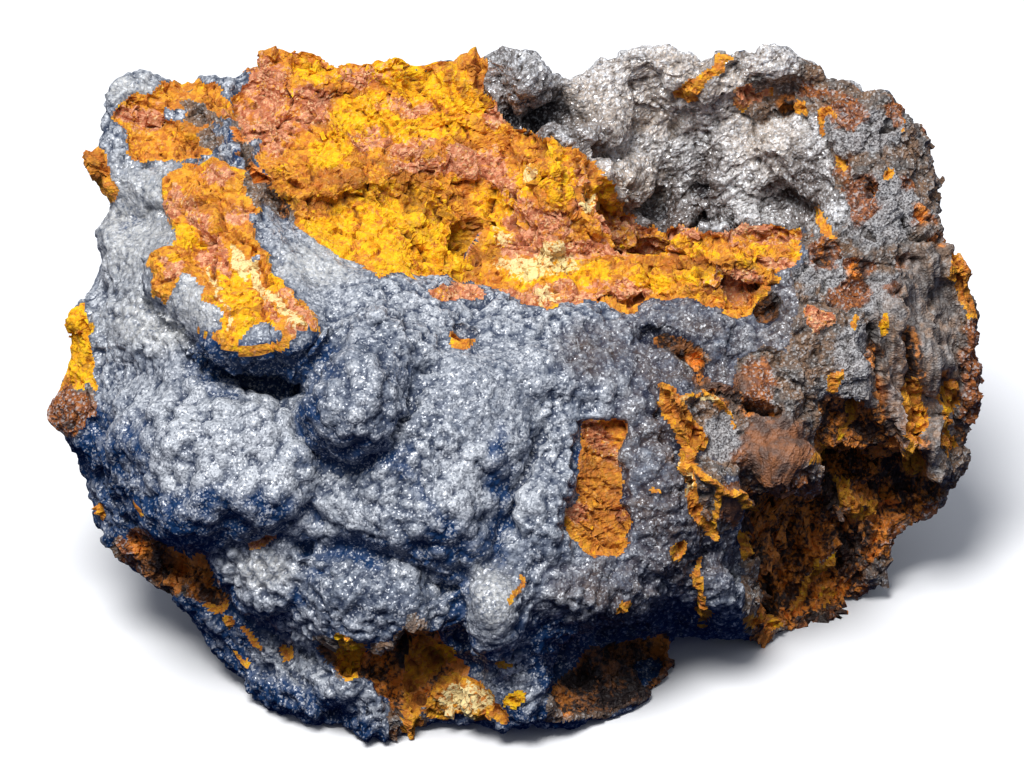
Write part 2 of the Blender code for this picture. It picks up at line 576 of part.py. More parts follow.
def nearest_seed(points, middles):
    """Which middle is nearest to each point, and how far off it is."""
    pick = np.zeros(len(points), dtype=int)
    gap = np.zeros(len(points))
    for start in range(0, len(points), 4000):
        block = slice(start, start + 4000)
        gaps = np.linalg.norm(points[block, None] - middles[None], axis=2)
        pick[block] = gaps.argmin(axis=1)
        gap[block] = gaps.min(axis=1)
    return pick, gap


def bud_crust(thing, size, height, seed):
    """Cover the crust with the round buds of a botryoidal mineral."""
    points = mesh_points(thing.data)
    normals = mesh_normals(thing.data)
    middles = points[scattered(points, size, np.random.default_rng(seed))]
    _, gap = nearest_seed(points, middles)
    bud = np.sqrt(np.clip(1 - (gap / size) ** 2, 0, 1)) - 0.75
    lift = bud * height * 2 * crust_share(points, normals)
    set_points(thing.data, points + normals * lift[:, None])


def break_in_facets(thing, size, depth, tilt, seed):
    """Break the rock outside its crust into flat facets, each leaning its own way."""
    points = mesh_points(thing.data)
    normals = mesh_normals(thing.data)
    chance = np.random.default_rng(seed)
    seeds = scattered(points, size, chance)
    middles = points[seeds]
    leans = normals[seeds] + chance.normal(0, tilt, (len(seeds), 3))
    leans /= np.linalg.norm(leans, axis=1)[:, None]
    pick, _ = nearest_seed(points, middles)
    rise = ((middles[pick] - points) * leans[pick]).sum(axis=1)
    slope = np.clip((normals * leans[pick]).sum(axis=1), 0.4, 1)
    lift = np.clip(rise / slope, -depth, depth) * (1 - crust_share(points, normals))
    set_points(thing.data, points + normals * lift[:, None])


def swell_with_noise(thing, size, height, seed):
    points = mesh_points(thing.data)
    normals = mesh_normals(thing.data)
    far_side = 1 - ramp(normals @ np.array(TOWARDS_VIEWER), -0.3, 0.2)
    lift = waver(points, size, seed) * height * (0.25 + 0.75 * far_side)
    set_points(thing.data, points + normals * lift[:, None])


def flatten_base(thing, snap=0.0):
    """Grind flat what the rock rests on."""
    points = mesh_points(thing.data)
    down = mesh_normals(thing.data)[:, 2] < -0.5
    low = (points[:, 2] < snap / 3) | (down & (points[:, 2] < snap))
    points[:, 2] = np.where(low, 0.0, points[:, 2])
    set_points(thing.data, points)


def sink_base(thing):
    """Let the lowest part of the rock down past the table, so that it is ground to a broad base."""
    points = mesh_points(thing.data)
    low = 1 - ramp(points[:, 2], 0.0, BASE_RISE)
    inside = 1 - ramp(mesh_normals(thing.data)[:, 2], -0.8, -0.4)
    points[:, 2] -= BASE_SINK * low * inside
    set_points(thing.data, points)


def thin_out(thing, triangles):
    thing.data.calc_loop_triangles()
    thinning = thing.modifiers.new("Thin", "DECIMATE")
    thinning.ratio = triangles / len(thing.data.loop_triangles)
    thinning.use_collapse_triangulate = True
    apply_modifiers(thing)


def crust_material():
    material = bpy.data.materials.new("pyrolusite")
    material.use_nodes = True
    shader = material.node_tree.nodes["Principled BSDF"]
    shader.inputs["Base Color"].default_value = (0.24, 0.28, 0.34, 1.0)
    shader.inputs["Roughness"].default_value = 0.5
    shader.inputs["Metallic"].default_value = 0.2
    return material


def build():
    clear_scene()
    parts = make_collection("pyrolusite_specimen")
    cutters = make_collection("cutters")
    masses = [rounded_mass(name, *values, parts) for name, values in MASSES.items()]
    rock = fused("pyrolusite_specimen", masses, BLOCK_VOXEL, parts)
    eased(rock, BLOCK_EASE)
    fit_outline(rock, OUTLINE_STEPS)
    eased(rock, FORM_EASE)
    fit_outline(rock, OUTLINE_STEPS)
    skin(rock, BLOCK_VOXEL)
    shape_face(rock)
    skin(rock, FORM_VOXEL)
    eased(rock, FORM_EASE)
    swell_with_noise(rock, SWELL_SIZE, SWELL_HEIGHT, 5)
    hollow = rough_ball("hollow", *HOLLOW, cutters)
    cut(rock, hollow)
    skin(rock, FORM_VOXEL)
    carve_face(rock)
    skin(rock, FORM_VOXEL)
    bud_crust(rock, BUD_SIZE, BUD_HEIGHT, 7)
    break_in_facets(rock, FACET_SIZE, FACET_DEPTH, FACET_TILT, 11)
    fit_outline(rock, FINE_OUTLINE_STEPS)
    eased(rock, 1, SKIN_EASE)
    sink_base(rock)
    fit_outline(rock, FINE_OUTLINE_STEPS)
    flatten_base(rock)
    skin(rock, FINE_VOXEL)
    flatten_base(rock, BASE_SNAP)
    thin_out(rock, TRIANGLES)
    flatten_base(rock, BASE_SNAP)
    rock.data.materials.clear()
    rock.data.materials.append(crust_material())
    return rock


build()
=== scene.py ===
import itertools
import math

import bpy
import numpy as np
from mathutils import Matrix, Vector
from mathutils.bvhtree import BVHTree
from mathutils.kdtree import KDTree


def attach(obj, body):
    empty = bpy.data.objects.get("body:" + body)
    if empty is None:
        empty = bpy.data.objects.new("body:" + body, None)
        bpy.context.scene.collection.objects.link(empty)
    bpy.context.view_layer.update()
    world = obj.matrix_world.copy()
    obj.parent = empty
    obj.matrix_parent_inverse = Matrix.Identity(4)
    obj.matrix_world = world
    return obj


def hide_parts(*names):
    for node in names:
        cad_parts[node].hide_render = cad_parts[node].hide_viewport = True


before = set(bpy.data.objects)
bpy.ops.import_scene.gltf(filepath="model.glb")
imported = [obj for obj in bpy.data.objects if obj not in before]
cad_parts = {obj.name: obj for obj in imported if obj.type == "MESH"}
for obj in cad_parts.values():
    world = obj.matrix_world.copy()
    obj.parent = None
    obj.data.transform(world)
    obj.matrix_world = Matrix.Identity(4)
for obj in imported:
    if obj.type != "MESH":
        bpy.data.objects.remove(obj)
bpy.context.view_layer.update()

# ----------------------------------------------------------------------------------------------------------
# The studio. A viewer looks down on the rock's best face from two metres away, over a plain pale floor,
# under one broad soft lamp. What is placed on the best face further down is given in pixels of this view.

MM = 0.001
PIXELS_ACROSS = 1024
PIXELS_DOWN = 782
PIXELS_PER_MM = 9.3
VIEW_DISTANCE = 2.0
VIEW_ANGLE = math.radians(30.0)
VIEW_CENTRE = Vector((0.0, 0.0, 27.0 * MM))
TOWARDS_VIEWER = Vector((0.0, -math.cos(VIEW_ANGLE), math.sin(VIEW_ANGLE)))
UP_THE_VIEW = Vector((0.0, math.sin(VIEW_ANGLE), math.cos(VIEW_ANGLE)))
SENSOR = 36.0
FLOOR_HALF = 30.0
FAR_CLIP = 100.0
LAMP_FROM = Vector((-0.18, -0.42, 0.89))
LAMP_POWER = 3.6
LAMP_SPREAD = math.radians(24.0)

scene = bpy.context.scene
eye = bpy.data.objects.new("eye", bpy.data.cameras.new("eye"))
eye.data.sensor_width = SENSOR
eye.data.lens = SENSOR * PIXELS_PER_MM * VIEW_DISTANCE / MM / PIXELS_ACROSS
eye.data.clip_end = FAR_CLIP
eye.location = VIEW_CENTRE + TOWARDS_VIEWER * VIEW_DISTANCE
eye.rotation_euler = TOWARDS_VIEWER.to_track_quat("Z", "Y").to_euler()
scene.collection.objects.link(eye)
scene.camera = eye


def pigment(red, green, blue):
    """A colour given from 0 to 255, as the shader counts it."""
    shares = [part / 255 for part in (red, green, blue)]
    return [((share + 0.055) / 1.055) ** 2.4 if share > 0.04 else share / 12.92 for share in shares] + [1.0]


class Flow:
    """One output of a material's nodes. Arithmetic on it adds Math nodes."""

    def __init__(self, paint, socket):
        self.paint = paint
        self.socket = socket

    def math(self, operation, *values, clamp=False):
        settings = {"operation": operation, "use_clamp": clamp}
        return self.paint.node("ShaderNodeMath", settings, dict(enumerate((self, *values))))

    def __add__(self, other):
        return self.math("ADD", other)

    def __mul__(self, other):
        return self.math("MULTIPLY", other)

    def __sub__(self, other):
        return self.math("SUBTRACT", other)

    def __rsub__(self, other):
        return self * -1.0 + other

    __radd__ = __add__
    __rmul__ = __mul__

    def clipped(self):
        return self.math("ADD", 0.0, clamp=True)

    def ramp(self, start, end):
        """Nought below start, one above end."""
        sockets = {"Value": self, "From Min": start, "From Max": end}
        return self.paint.node("ShaderNodeMapRange", {"interpolation_type": "SMOOTHSTEP"}, sockets)


class Paint:
    """The nodes of a material, or of the world."""

    def __init__(self, owner, shader="Principled BSDF"):
        owner.use_nodes = True
        self.owner = owner
        self.tree = owner.node_tree
        self.shader = self.tree.nodes[shader]

    def node(self, kind, settings=None, sockets=None, output=0):
        made = self.tree.nodes.new(kind)
        for name, value in (settings or {}).items():
            setattr(made, name, value)
        self.feed(made, sockets or {})
        return Flow(self, made.outputs[output])

    def feed(self, node, sockets):
        for name, value in sockets.items():
            if isinstance(value, Flow):
                self.tree.links.new(value.socket, node.inputs[name])
            else:
                node.inputs[name].default_value = value

    def finish(self, **sockets):
        self.feed(self.shader, {name.replace("_", " "): value for name, value in sockets.items()})
        return self.owner

    def mask(self, name):
        return self.node("ShaderNodeAttribute", {"attribute_name": name}, output="Fac")

    def place(self, stretch=None):
        """Where the surface lies, drawn together along an axis where its stretch is below one."""
        spot = self.node("ShaderNodeTexCoord", output="Object")
        return self.node("ShaderNodeMapping", None, {"Vector": spot, "Scale": stretch}) if stretch else spot

    def cloud(self, size, detail, stretch=None):
        """Soft noise about a half, with blotches of the given size in metres."""
        sockets = {"Vector": self.place(stretch), "Scale": 1 / size, "Detail": detail}
        return self.node("ShaderNodeTexNoise", None, sockets, "Fac")

    def grains(self, size, output="Distance"):
        """Grains of a size in metres: how far off the middle of each is, or a colour for each."""
        return self.node("ShaderNodeTexVoronoi", None, {"Vector": self.place(), "Scale": 1 / size}, output)

    def chance(self, size):
        """A number from nought to one for each grain of a size in metres."""
        return self.grains(size, "Color") * 1.0

    def mix(self, share, first, second):
        """Colours: the first where share is nought, the second where it is one."""
        return self.node("ShaderNodeMix", {"data_type": "RGBA"}, {0: share, 6: first, 7: second}, 2)

    def layered(self, colour, layers):
        """A colour with others laid over it in turn, each given as its share and itself."""
        for share, layer in layers:
            colour = self.mix(share, colour, layer)
        return colour

    def bumps(self, height, depth, strength):
        """Relief too fine for the mesh: height is a flow from nought to one, depth is in metres."""
        sockets = {"Height": height, "Distance": depth, "Strength": strength}
        return self.node("ShaderNodeBump", None, sockets)


floor_mesh = bpy.data.meshes.new("floor")
floor_corners = [(x * FLOOR_HALF, y * FLOOR_HALF, 0.0) for x, y in ((-1, -1), (1, -1), (1, 1), (-1, 1))]
floor_mesh.from_pydata(floor_corners, [], [(0, 1, 2, 3)])
floor = bpy.data.objects.new("floor", floor_mesh)
floor_paint = Paint(bpy.data.materials.new("floor_paper"))
floor_mesh.materials.append(floor_paint.finish(Base_Color=pigment(243, 243, 244), Roughness=0.9))
floor.visible_diffuse = False
floor.visible_glossy = False
scene.collection.objects.link(floor)

lamp = bpy.data.objects.new("lamp", bpy.data.lights.new("lamp", "SUN"))
lamp.data.energy = LAMP_POWER
lamp.data.angle = LAMP_SPREAD
lamp.rotation_euler = LAMP_FROM.to_track_quat("Z", "Y").to_euler()
scene.collection.objects.link(lamp)

# The dome of the studio is bright overhead and dark blue below, as a blue cloth under the rock would be.
DOME = (
    (0.0, pigment(2, 14, 44)), (0.46, pigment(12, 36, 88)), (0.6, pigment(88, 96, 112)),
    (1.0, pigment(196, 200, 208)),
)
dome = Paint(bpy.data.worlds.new("dome"), "Background")
dome_way = dome.node("ShaderNodeTexCoord", output="Generated")
dome_height = dome.node("ShaderNodeSeparateXYZ", None, {"Vector": dome_way}, "Z")
dome_colour = dome.node("ShaderNodeValToRGB", None, {"Fac": dome_height * 0.5 + 0.5}, "Color")
dome_stops = dome_colour.socket.node.color_ramp.elements
for stop, (height, colour) in zip((dome_stops[0], dome_stops[1]), (DOME[0], DOME[-1])):
    stop.position = height
    stop.color = colour
for height, colour in DOME[1:-1]:
    dome_stops.new(height).color = colour
scene.world = dome.finish(Color=dome_colour, Strength=1.0)
scene.view_settings.view_transform = "Standard"

# ----------------------------------------------------------------------------------------------------------
# The rock's skin. The rock is one piece of stone, so all of its minerals share one surface: the solid of
# the frame, made fine, with the named plates, gullies, lumps and pits of the best face cut sharper.

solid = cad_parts["pyrolusite_specimen"]
SKIN_VOXEL = 0.29 * MM
SKIN_EASE = 5
WELD_GAP = 0.002 * MM
# The best face's relief fades out where the skin turns from the viewer, and is eased a little at the end.
FACE_FADE = (-0.1, 0.2)
RELIEF_EASE = 2
# How full pits, ridges and lumps are. At one a ridge has straight sides, and a pit or a lump is a parabola.
# Below one they are fuller.
PIT_SHAPE = 0.8
RIDGE_SHAPE = 0.8
LUMP_SHAPE = 0.7
# How far round an outline and round a seam, in pixels, the skin is looked at.
OUTLINE_MARGIN = 16
SEAM_MARGIN = 40
# How far, in pixels, outlines wander in broad and in fine waves, so that no edge of a mineral is smooth.
BROAD_WANDER = 7.0
FINE_WANDER = 3.5
# Waves of the whole skin on the best face and on the other sides: height, length in millimetres and seed.
FACE_WAVES = ((0.55, 5.0, 31), (0.35, 2.4, 32))
BACK_WAVES = ((1.1, 9.0, 33), (0.5, 3.5, 34))


def fine_skin(source, voxel, ease):
    """The solid's surface as places and four-cornered faces, a voxel apart."""
    thing = bpy.data.objects.new("skin", source.data.copy())
    scene.collection.objects.link(thing)
    joining = thing.modifiers.new("Joining", "WELD")
    joining.merge_threshold = WELD_GAP
    rounding = thing.modifiers.new("Rounding", "SUBSURF")
    rounding.levels = 2
    meshing = thing.modifiers.new("Meshing", "REMESH")
    meshing.mode = "VOXEL"
    meshing.voxel_size = voxel
    easing = thing.modifiers.new("Easing", "SMOOTH")
    easing.factor = 0.5
    easing.iterations = ease
    made = bpy.data.meshes.new_from_object(thing.evaluated_get(bpy.context.evaluated_depsgraph_get()))
    bpy.data.objects.remove(thing)
    places = np.empty(len(made.vertices) * 3)
    made.vertices.foreach_get("co", places)
    faces = np.empty(len(made.loops), dtype=int)
    made.loops.foreach_get("vertex_index", faces)
    bpy.data.meshes.remove(made)
    return places.reshape(-1, 3), faces.reshape(-1, 4)


def face_normals(places, faces):
    corners = places[faces]
    return np.cross(corners[:, 2] - corners[:, 0], corners[:, 3] - corners[:, 1])


def normals_of(places, faces):
    """The way that the skin faces at each place."""
    across = face_normals(places, faces)
    total = np.stack([
        np.bincount(faces.ravel(), np.repeat(across[:, axis], 4), len(places)) for axis in range(3)
    ], axis=1)
    return total / np.maximum(np.linalg.norm(total, axis=1), 1e-20)[:, None]


def blurred(values, faces, rounds):
    """Values at the skin's places, eased towards their neighbours."""
    ends = np.concatenate([faces, np.roll(faces, 1, axis=1)]).ravel()
    others = np.concatenate([np.roll(faces, 1, axis=1), faces]).ravel()
    count = np.bincount(ends, minlength=len(values))
    for _ in range(rounds):
        values = 0.5 * values + 0.5 * np.bincount(ends, values[others], len(values)) / count
    return values


def eased(rows, faces, rounds):
    """The same for places or directions, axis by axis."""
    return np.stack([blurred(rows[:, axis], faces, rounds) for axis in range(3)], axis=1)


def ramp(value, start, end):
    share = np.clip((value - start) / (end - start), 0, 1)
    return share * share * (3 - 2 * share)


# All noise comes from one table of chance.
CHANCE_COUNT = 4096
chance_table = np.random.default_rng(3).uniform(-1, 1, (CHANCE_COUNT, 3))
# A chip's level comes from a row of the table this far from its seed's, so that the two don't match.
OTHER_ROW = 997
# This brings a waver up to about one at its highest.
WAVER_GAIN = 1.5
# How far a seed lies off the middle of its cell at most, and how far a bud reaches from its seed, in sizes.
SCATTER = 0.42
BUD_REACH = 0.74
BUD_SHAPE = 0.6


def chance_of(cells, seed):
    """Which row of the table of chance belongs to each cell of a grid."""
    mixed = cells[:, 0] * 73856093 ^ cells[:, 1] * 19349663 ^ cells[:, 2] * 83492791 ^ (seed * 7919 + 11)
    return (mixed ^ (mixed >> 12)) % CHANCE_COUNT


def waver(points, size, seed):
    """Smooth noise from about -1 to 1, with waves of the given size."""
    grid = points / size
    home = np.floor(grid).astype(np.int64)
    part = grid - home
    ease = part * part * (3 - 2 * part)
    total = np.zeros(len(points))
    for step in itertools.product((0, 1), repeat=3):
        weight = np.prod(np.where(step, ease, 1 - ease), axis=1)
        total += ((part - step) * chance_table[chance_of(home + step, seed)]).sum(axis=1) * weight
    return total * WAVER_GAIN


def drift(points, size, first_seed, axes=3):
    """Smooth noise of its own along each of some axes."""
    return np.stack([waver(points, size, first_seed + axis) for axis in range(axes)], axis=1)


def waves(points, rows):
    """The sum of several wavers, each with its height and length in millimetres and its seed."""
    return sum(height * waver(points, size * MM, seed) for height, size, seed in rows)


def cells_of(points, size, seed):
    """A scatter of seeds about size apart: how far the nearest lies, how much further the second, which the
    nearest is and where each point lies from it, all in sizes."""
    grid = points / size
    home = np.floor(grid).astype(np.int64)
    nearest = np.full(len(points), np.inf)
    second = np.full(len(points), np.inf)
    which = np.zeros(len(points), dtype=int)
    from_seed = np.zeros((len(points), 3))
    for step in itertools.product((-1, 0, 1), repeat=3):
        cell = home + step
        row = chance_of(cell, seed)
        offset = grid - (cell + 0.5 + SCATTER * chance_table[row])
        gap = np.sqrt((offset * offset).sum(axis=1))
        closer = gap < nearest
        second = np.where(closer, nearest, np.minimum(second, gap))
        nearest = np.where(closer, gap, nearest)
        which = np.where(closer, row, which)
        from_seed[closer] = offset[closer]
    return nearest, second - nearest, which, from_seed


def buds(points, size, seed):
    """Round buds from nought in the creases to one on top."""
    nearest = cells_of(points, size, seed)[0]
    return np.clip(1 - (nearest / BUD_REACH) ** 2, 0, 1) ** BUD_SHAPE


def chips(points, size, seed, lean=0.8):
    """Flat chips, each at its own level and leaning its own way, and the seams between them."""
    _, seam, which, from_seed = cells_of(points, size, seed)
    level = chance_table[(which + OTHER_ROW) % CHANCE_COUNT]
    return level[:, 0] * 0.5 + (from_seed * level).sum(axis=1) * lean, seam


def in_view(points):
    """The pixel at which each point shows."""
    offset = points - np.array(VIEW_CENTRE)
    near = offset @ np.array(TOWARDS_VIEWER)
    scale = PIXELS_PER_MM / MM * VIEW_DISTANCE / (VIEW_DISTANCE - near)
    u = PIXELS_ACROSS / 2 + offset[:, 0] * scale
    v = PIXELS_DOWN / 2 - (offset @ np.array(UP_THE_VIEW)) * scale
    return np.stack([u, v], axis=1)


def path_gap(pixels, path, closed=False):
    """How far each pixel lies from a path, in millimetres."""
    corners = np.array(path, dtype=float)
    starts, ends = (corners, np.roll(corners, -1, axis=0)) if closed else (corners[:-1], corners[1:])
    nearest = np.full(len(pixels), np.inf)
    for start, end in zip(starts, ends):
        run = end - start
        along = np.clip((pixels - start) @ run / (run @ run), 0, 1)
        nearest = np.minimum(nearest, np.hypot(*(pixels - start - np.outer(along, run)).T))
    return nearest / PIXELS_PER_MM


def depth_inside(pixels, outline):
    """The distance to an outline in millimetres, above zero inside it."""
    within = np.zeros(len(pixels), dtype=bool)
    corners = np.array(outline, dtype=float)
    u, v = pixels.T
    for (u_a, v_a), (u_b, v_b) in zip(corners, np.roll(corners, -1, axis=0)):
        if v_a != v_b:
            within ^= ((v_a > v) != (v_b > v)) & (u < (u_b - u_a) * (v - v_a) / (v_b - v_a) + u_a)
    gap = path_gap(pixels, outline, closed=True)
    return np.where(within, gap, -gap)


def near_outline(pixels, outline, margin=OUTLINE_MARGIN):
    """Which pixels lie in the frame round an outline, so that only they are measured."""
    low = np.min(outline, axis=0) - margin
    high = np.max(outline, axis=0) + margin
    return np.flatnonzero(((pixels > low) & (pixels < high)).all(axis=1))


places, faces = fine_skin(solid, SKIN_VOXEL, SKIN_EASE)
normals = normals_of(places, faces)
pixels = in_view(places)
facing = normals @ np.array(TOWARDS_VIEWER)

# What stands out of the skin or is sunk in it. A step has a height, the softness of its edge and an outline,
# a seam has half its width, its depth and a path, and a pit has its middle, its half sizes and its depth:
# heights and widths are in millimetres, places and half sizes in pixels.
STEPS = {
    "ochre_break": (-0.8, 0.35, [
        (251, 62), (300, 46), (380, 52), (440, 60), (480, 66), (492, 100), (505, 128), (545, 138),
        (582, 147), (620, 192), (640, 225), (672, 226), (700, 234), (770, 222), (800, 228), (797, 262),
        (778, 275), (760, 300), (748, 315), (715, 308), (680, 298), (655, 300), (635, 314), (600, 307),
        (565, 303), (530, 305), (500, 290), (470, 278), (420, 276), (365, 270), (325, 247), (300, 225),
        (285, 200), (262, 165), (240, 142), (233, 110),
    ]),
    "ochre_slab": (0.9, 0.3, [
        (150, 292), (146, 262), (165, 248), (178, 230), (163, 200), (163, 178), (200, 163), (240, 172),
        (262, 205), (258, 240), (285, 285), (320, 330), (290, 350), (235, 352), (200, 335), (165, 302),
    ]),
    "slab_shelf": (1.2, 0.4, [
        (150, 300), (205, 340), (260, 330), (322, 326), (334, 340), (318, 356), (304, 372), (288, 392),
        (268, 380), (240, 378), (208, 374), (180, 352),
    ]),
    "left_block": (-0.4, 0.3, [
        (111, 112), (135, 97), (172, 80), (218, 88), (232, 118), (205, 132), (218, 155), (140, 163),
        (115, 125),
    ]),
    "window": (-1.1, 0.25, [
        (583, 420), (627, 424), (622, 480), (628, 545), (600, 557), (575, 553), (565, 525), (572, 470),
    ]),
    "rust_plate": (0.4, 0.25, [
        (740, 415), (790, 415), (812, 440), (803, 480), (775, 482), (745, 455),
    ]),
    "upper_lens": (0.6, 0.25, [(742, 358), (760, 375), (771, 404), (762, 411), (745, 385)]),
    "diamond": (0.5, 0.25, [(806, 303), (833, 312), (838, 320), (815, 338), (801, 315)]),
    "bottom_gap": (-1.8, 0.6, [
        (318, 634), (335, 645), (385, 645), (405, 620), (435, 625), (455, 650), (480, 668), (425, 690),
        (400, 735), (388, 700), (362, 672), (335, 668),
    ]),
    "recess": (-1.6, 0.7, [
        (745, 540), (760, 505), (812, 484), (815, 455), (832, 402), (868, 400), (888, 440), (945, 490),
        (893, 525), (880, 560), (835, 612), (820, 628), (760, 628),
    ]),
    "lower_pits": (-1.3, 0.5, [
        (127, 535), (150, 528), (175, 548), (203, 560), (226, 600), (205, 605), (190, 588), (165, 600),
        (140, 575),
    ]),
    "foot_recess": (-1.4, 0.6, [
        (560, 650), (600, 630), (640, 622), (668, 640), (655, 690), (600, 712), (560, 715), (550, 690),
    ]),
}
SEAMS = {
    "slab_crack": (0.35, 2.0, [(236, 128), (241, 142), (248, 165), (262, 182), (278, 202), (287, 213)]),
    "block_crack": (0.3, 1.2, [(148, 163), (185, 162), (222, 160)]),
    "left_crack": (0.25, 1.2, [(112, 214), (122, 213), (140, 216), (160, 211)]),
    "right_crack": (0.35, 1.8, [(902, 224), (915, 235), (940, 240), (954, 243)]),
    "column_slit": (0.5, 1.8, [(824, 474), (850, 467), (880, 465), (910, 469)]),
    "under_slab": (0.8, 2.6, [(206, 366), (245, 380), (292, 388)]),
    "left_of_slab": (0.6, 1.6, [(148, 305), (165, 325), (205, 355)]),
    "round_lump": (0.5, 1.2, [(412, 395), (406, 420), (390, 450), (355, 470), (318, 464), (303, 440)]),
    "belly_fold": (0.35, 1.0, [(165, 415), (195, 425), (235, 420), (285, 400)]),
    "middle_gully": (0.6, 1.3, [(545, 425), (522, 480), (502, 540), (482, 572), (440, 590)]),
    "front_gully": (0.55, 1.1, [(300, 548), (350, 553), (400, 560), (452, 596), (466, 640)]),
    "front_cut": (0.45, 1.0, [(330, 575), (310, 570), (288, 560)]),
    "ochre_top": (0.35, 0.9, [(318, 92), (345, 98), (364, 97)]),
    "ochre_left": (0.4, 1.1, [(322, 165), (345, 175), (362, 184), (392, 188)]),
    "ochre_ledge": (0.5, 0.8, [(284, 203), (320, 204), (350, 200), (364, 190)]),
    "ochre_middle": (0.5, 0.8, [(438, 154), (456, 148), (480, 146)]),
    "ochre_groove": (0.8, 0.7, [(404, 212), (416, 188), (431, 165)]),
    "ochre_slot": (0.45, 0.8, [(430, 216), (440, 203), (453, 192), (472, 194)]),
    "blade_foot": (0.5, 0.9, [(540, 180), (562, 208), (580, 224)]),
    "right_band": (0.8, 1.1, [(640, 262), (665, 256), (692, 262)]),
    "right_band_low": (0.4, 0.9, [(700, 290), (738, 288), (775, 284)]),
    "plate_ledge": (0.6, 1.8, [(712, 388), (738, 402), (758, 410), (775, 412)]),
    "overhang": (0.7, 2.2, [(645, 332), (672, 338), (690, 352), (705, 368)]),
    "corner_seam": (0.4, 1.3, [(655, 385), (662, 420), (684, 462), (700, 515), (712, 560)]),
    "column_seam_1": (0.35, 1.6, [(872, 330), (884, 400), (898, 455)]),
    "column_seam_2": (0.35, 1.8, [(902, 290), (914, 380), (920, 465)]),
    "column_seam_3": (0.35, 1.6, [(930, 290), (941, 380), (943, 465)]),
    "column_seam_4": (0.35, 1.4, [(948, 300), (961, 380), (955, 460)]),
    "column_break_1": (0.2, 0.9, [(918, 396), (942, 398)]),
    "column_break_2": (0.2, 0.9, [(918, 416), (942, 414)]),
    "under_ledge": (0.6, 2.2, [(830, 468), (870, 466), (905, 484), (940, 484)]),
    "under_lump": (0.6, 1.0, [(462, 560), (466, 600), (478, 640)]),
    "lower_left": (0.7, 1.4, [(100, 470), (130, 515), (180, 555), (230, 605), (285, 655), (330, 715)]),
    "lower_left_2": (0.4, 1.0, [(128, 490), (160, 530), (215, 575), (262, 620), (330, 680)]),
    "lower_left_3": (0.35, 0.9, [(205, 600), (245, 650), (300, 705)]),
    "bottom_right": (0.5, 1.2, [(600, 612), (575, 645), (552, 690), (530, 725)]),
}
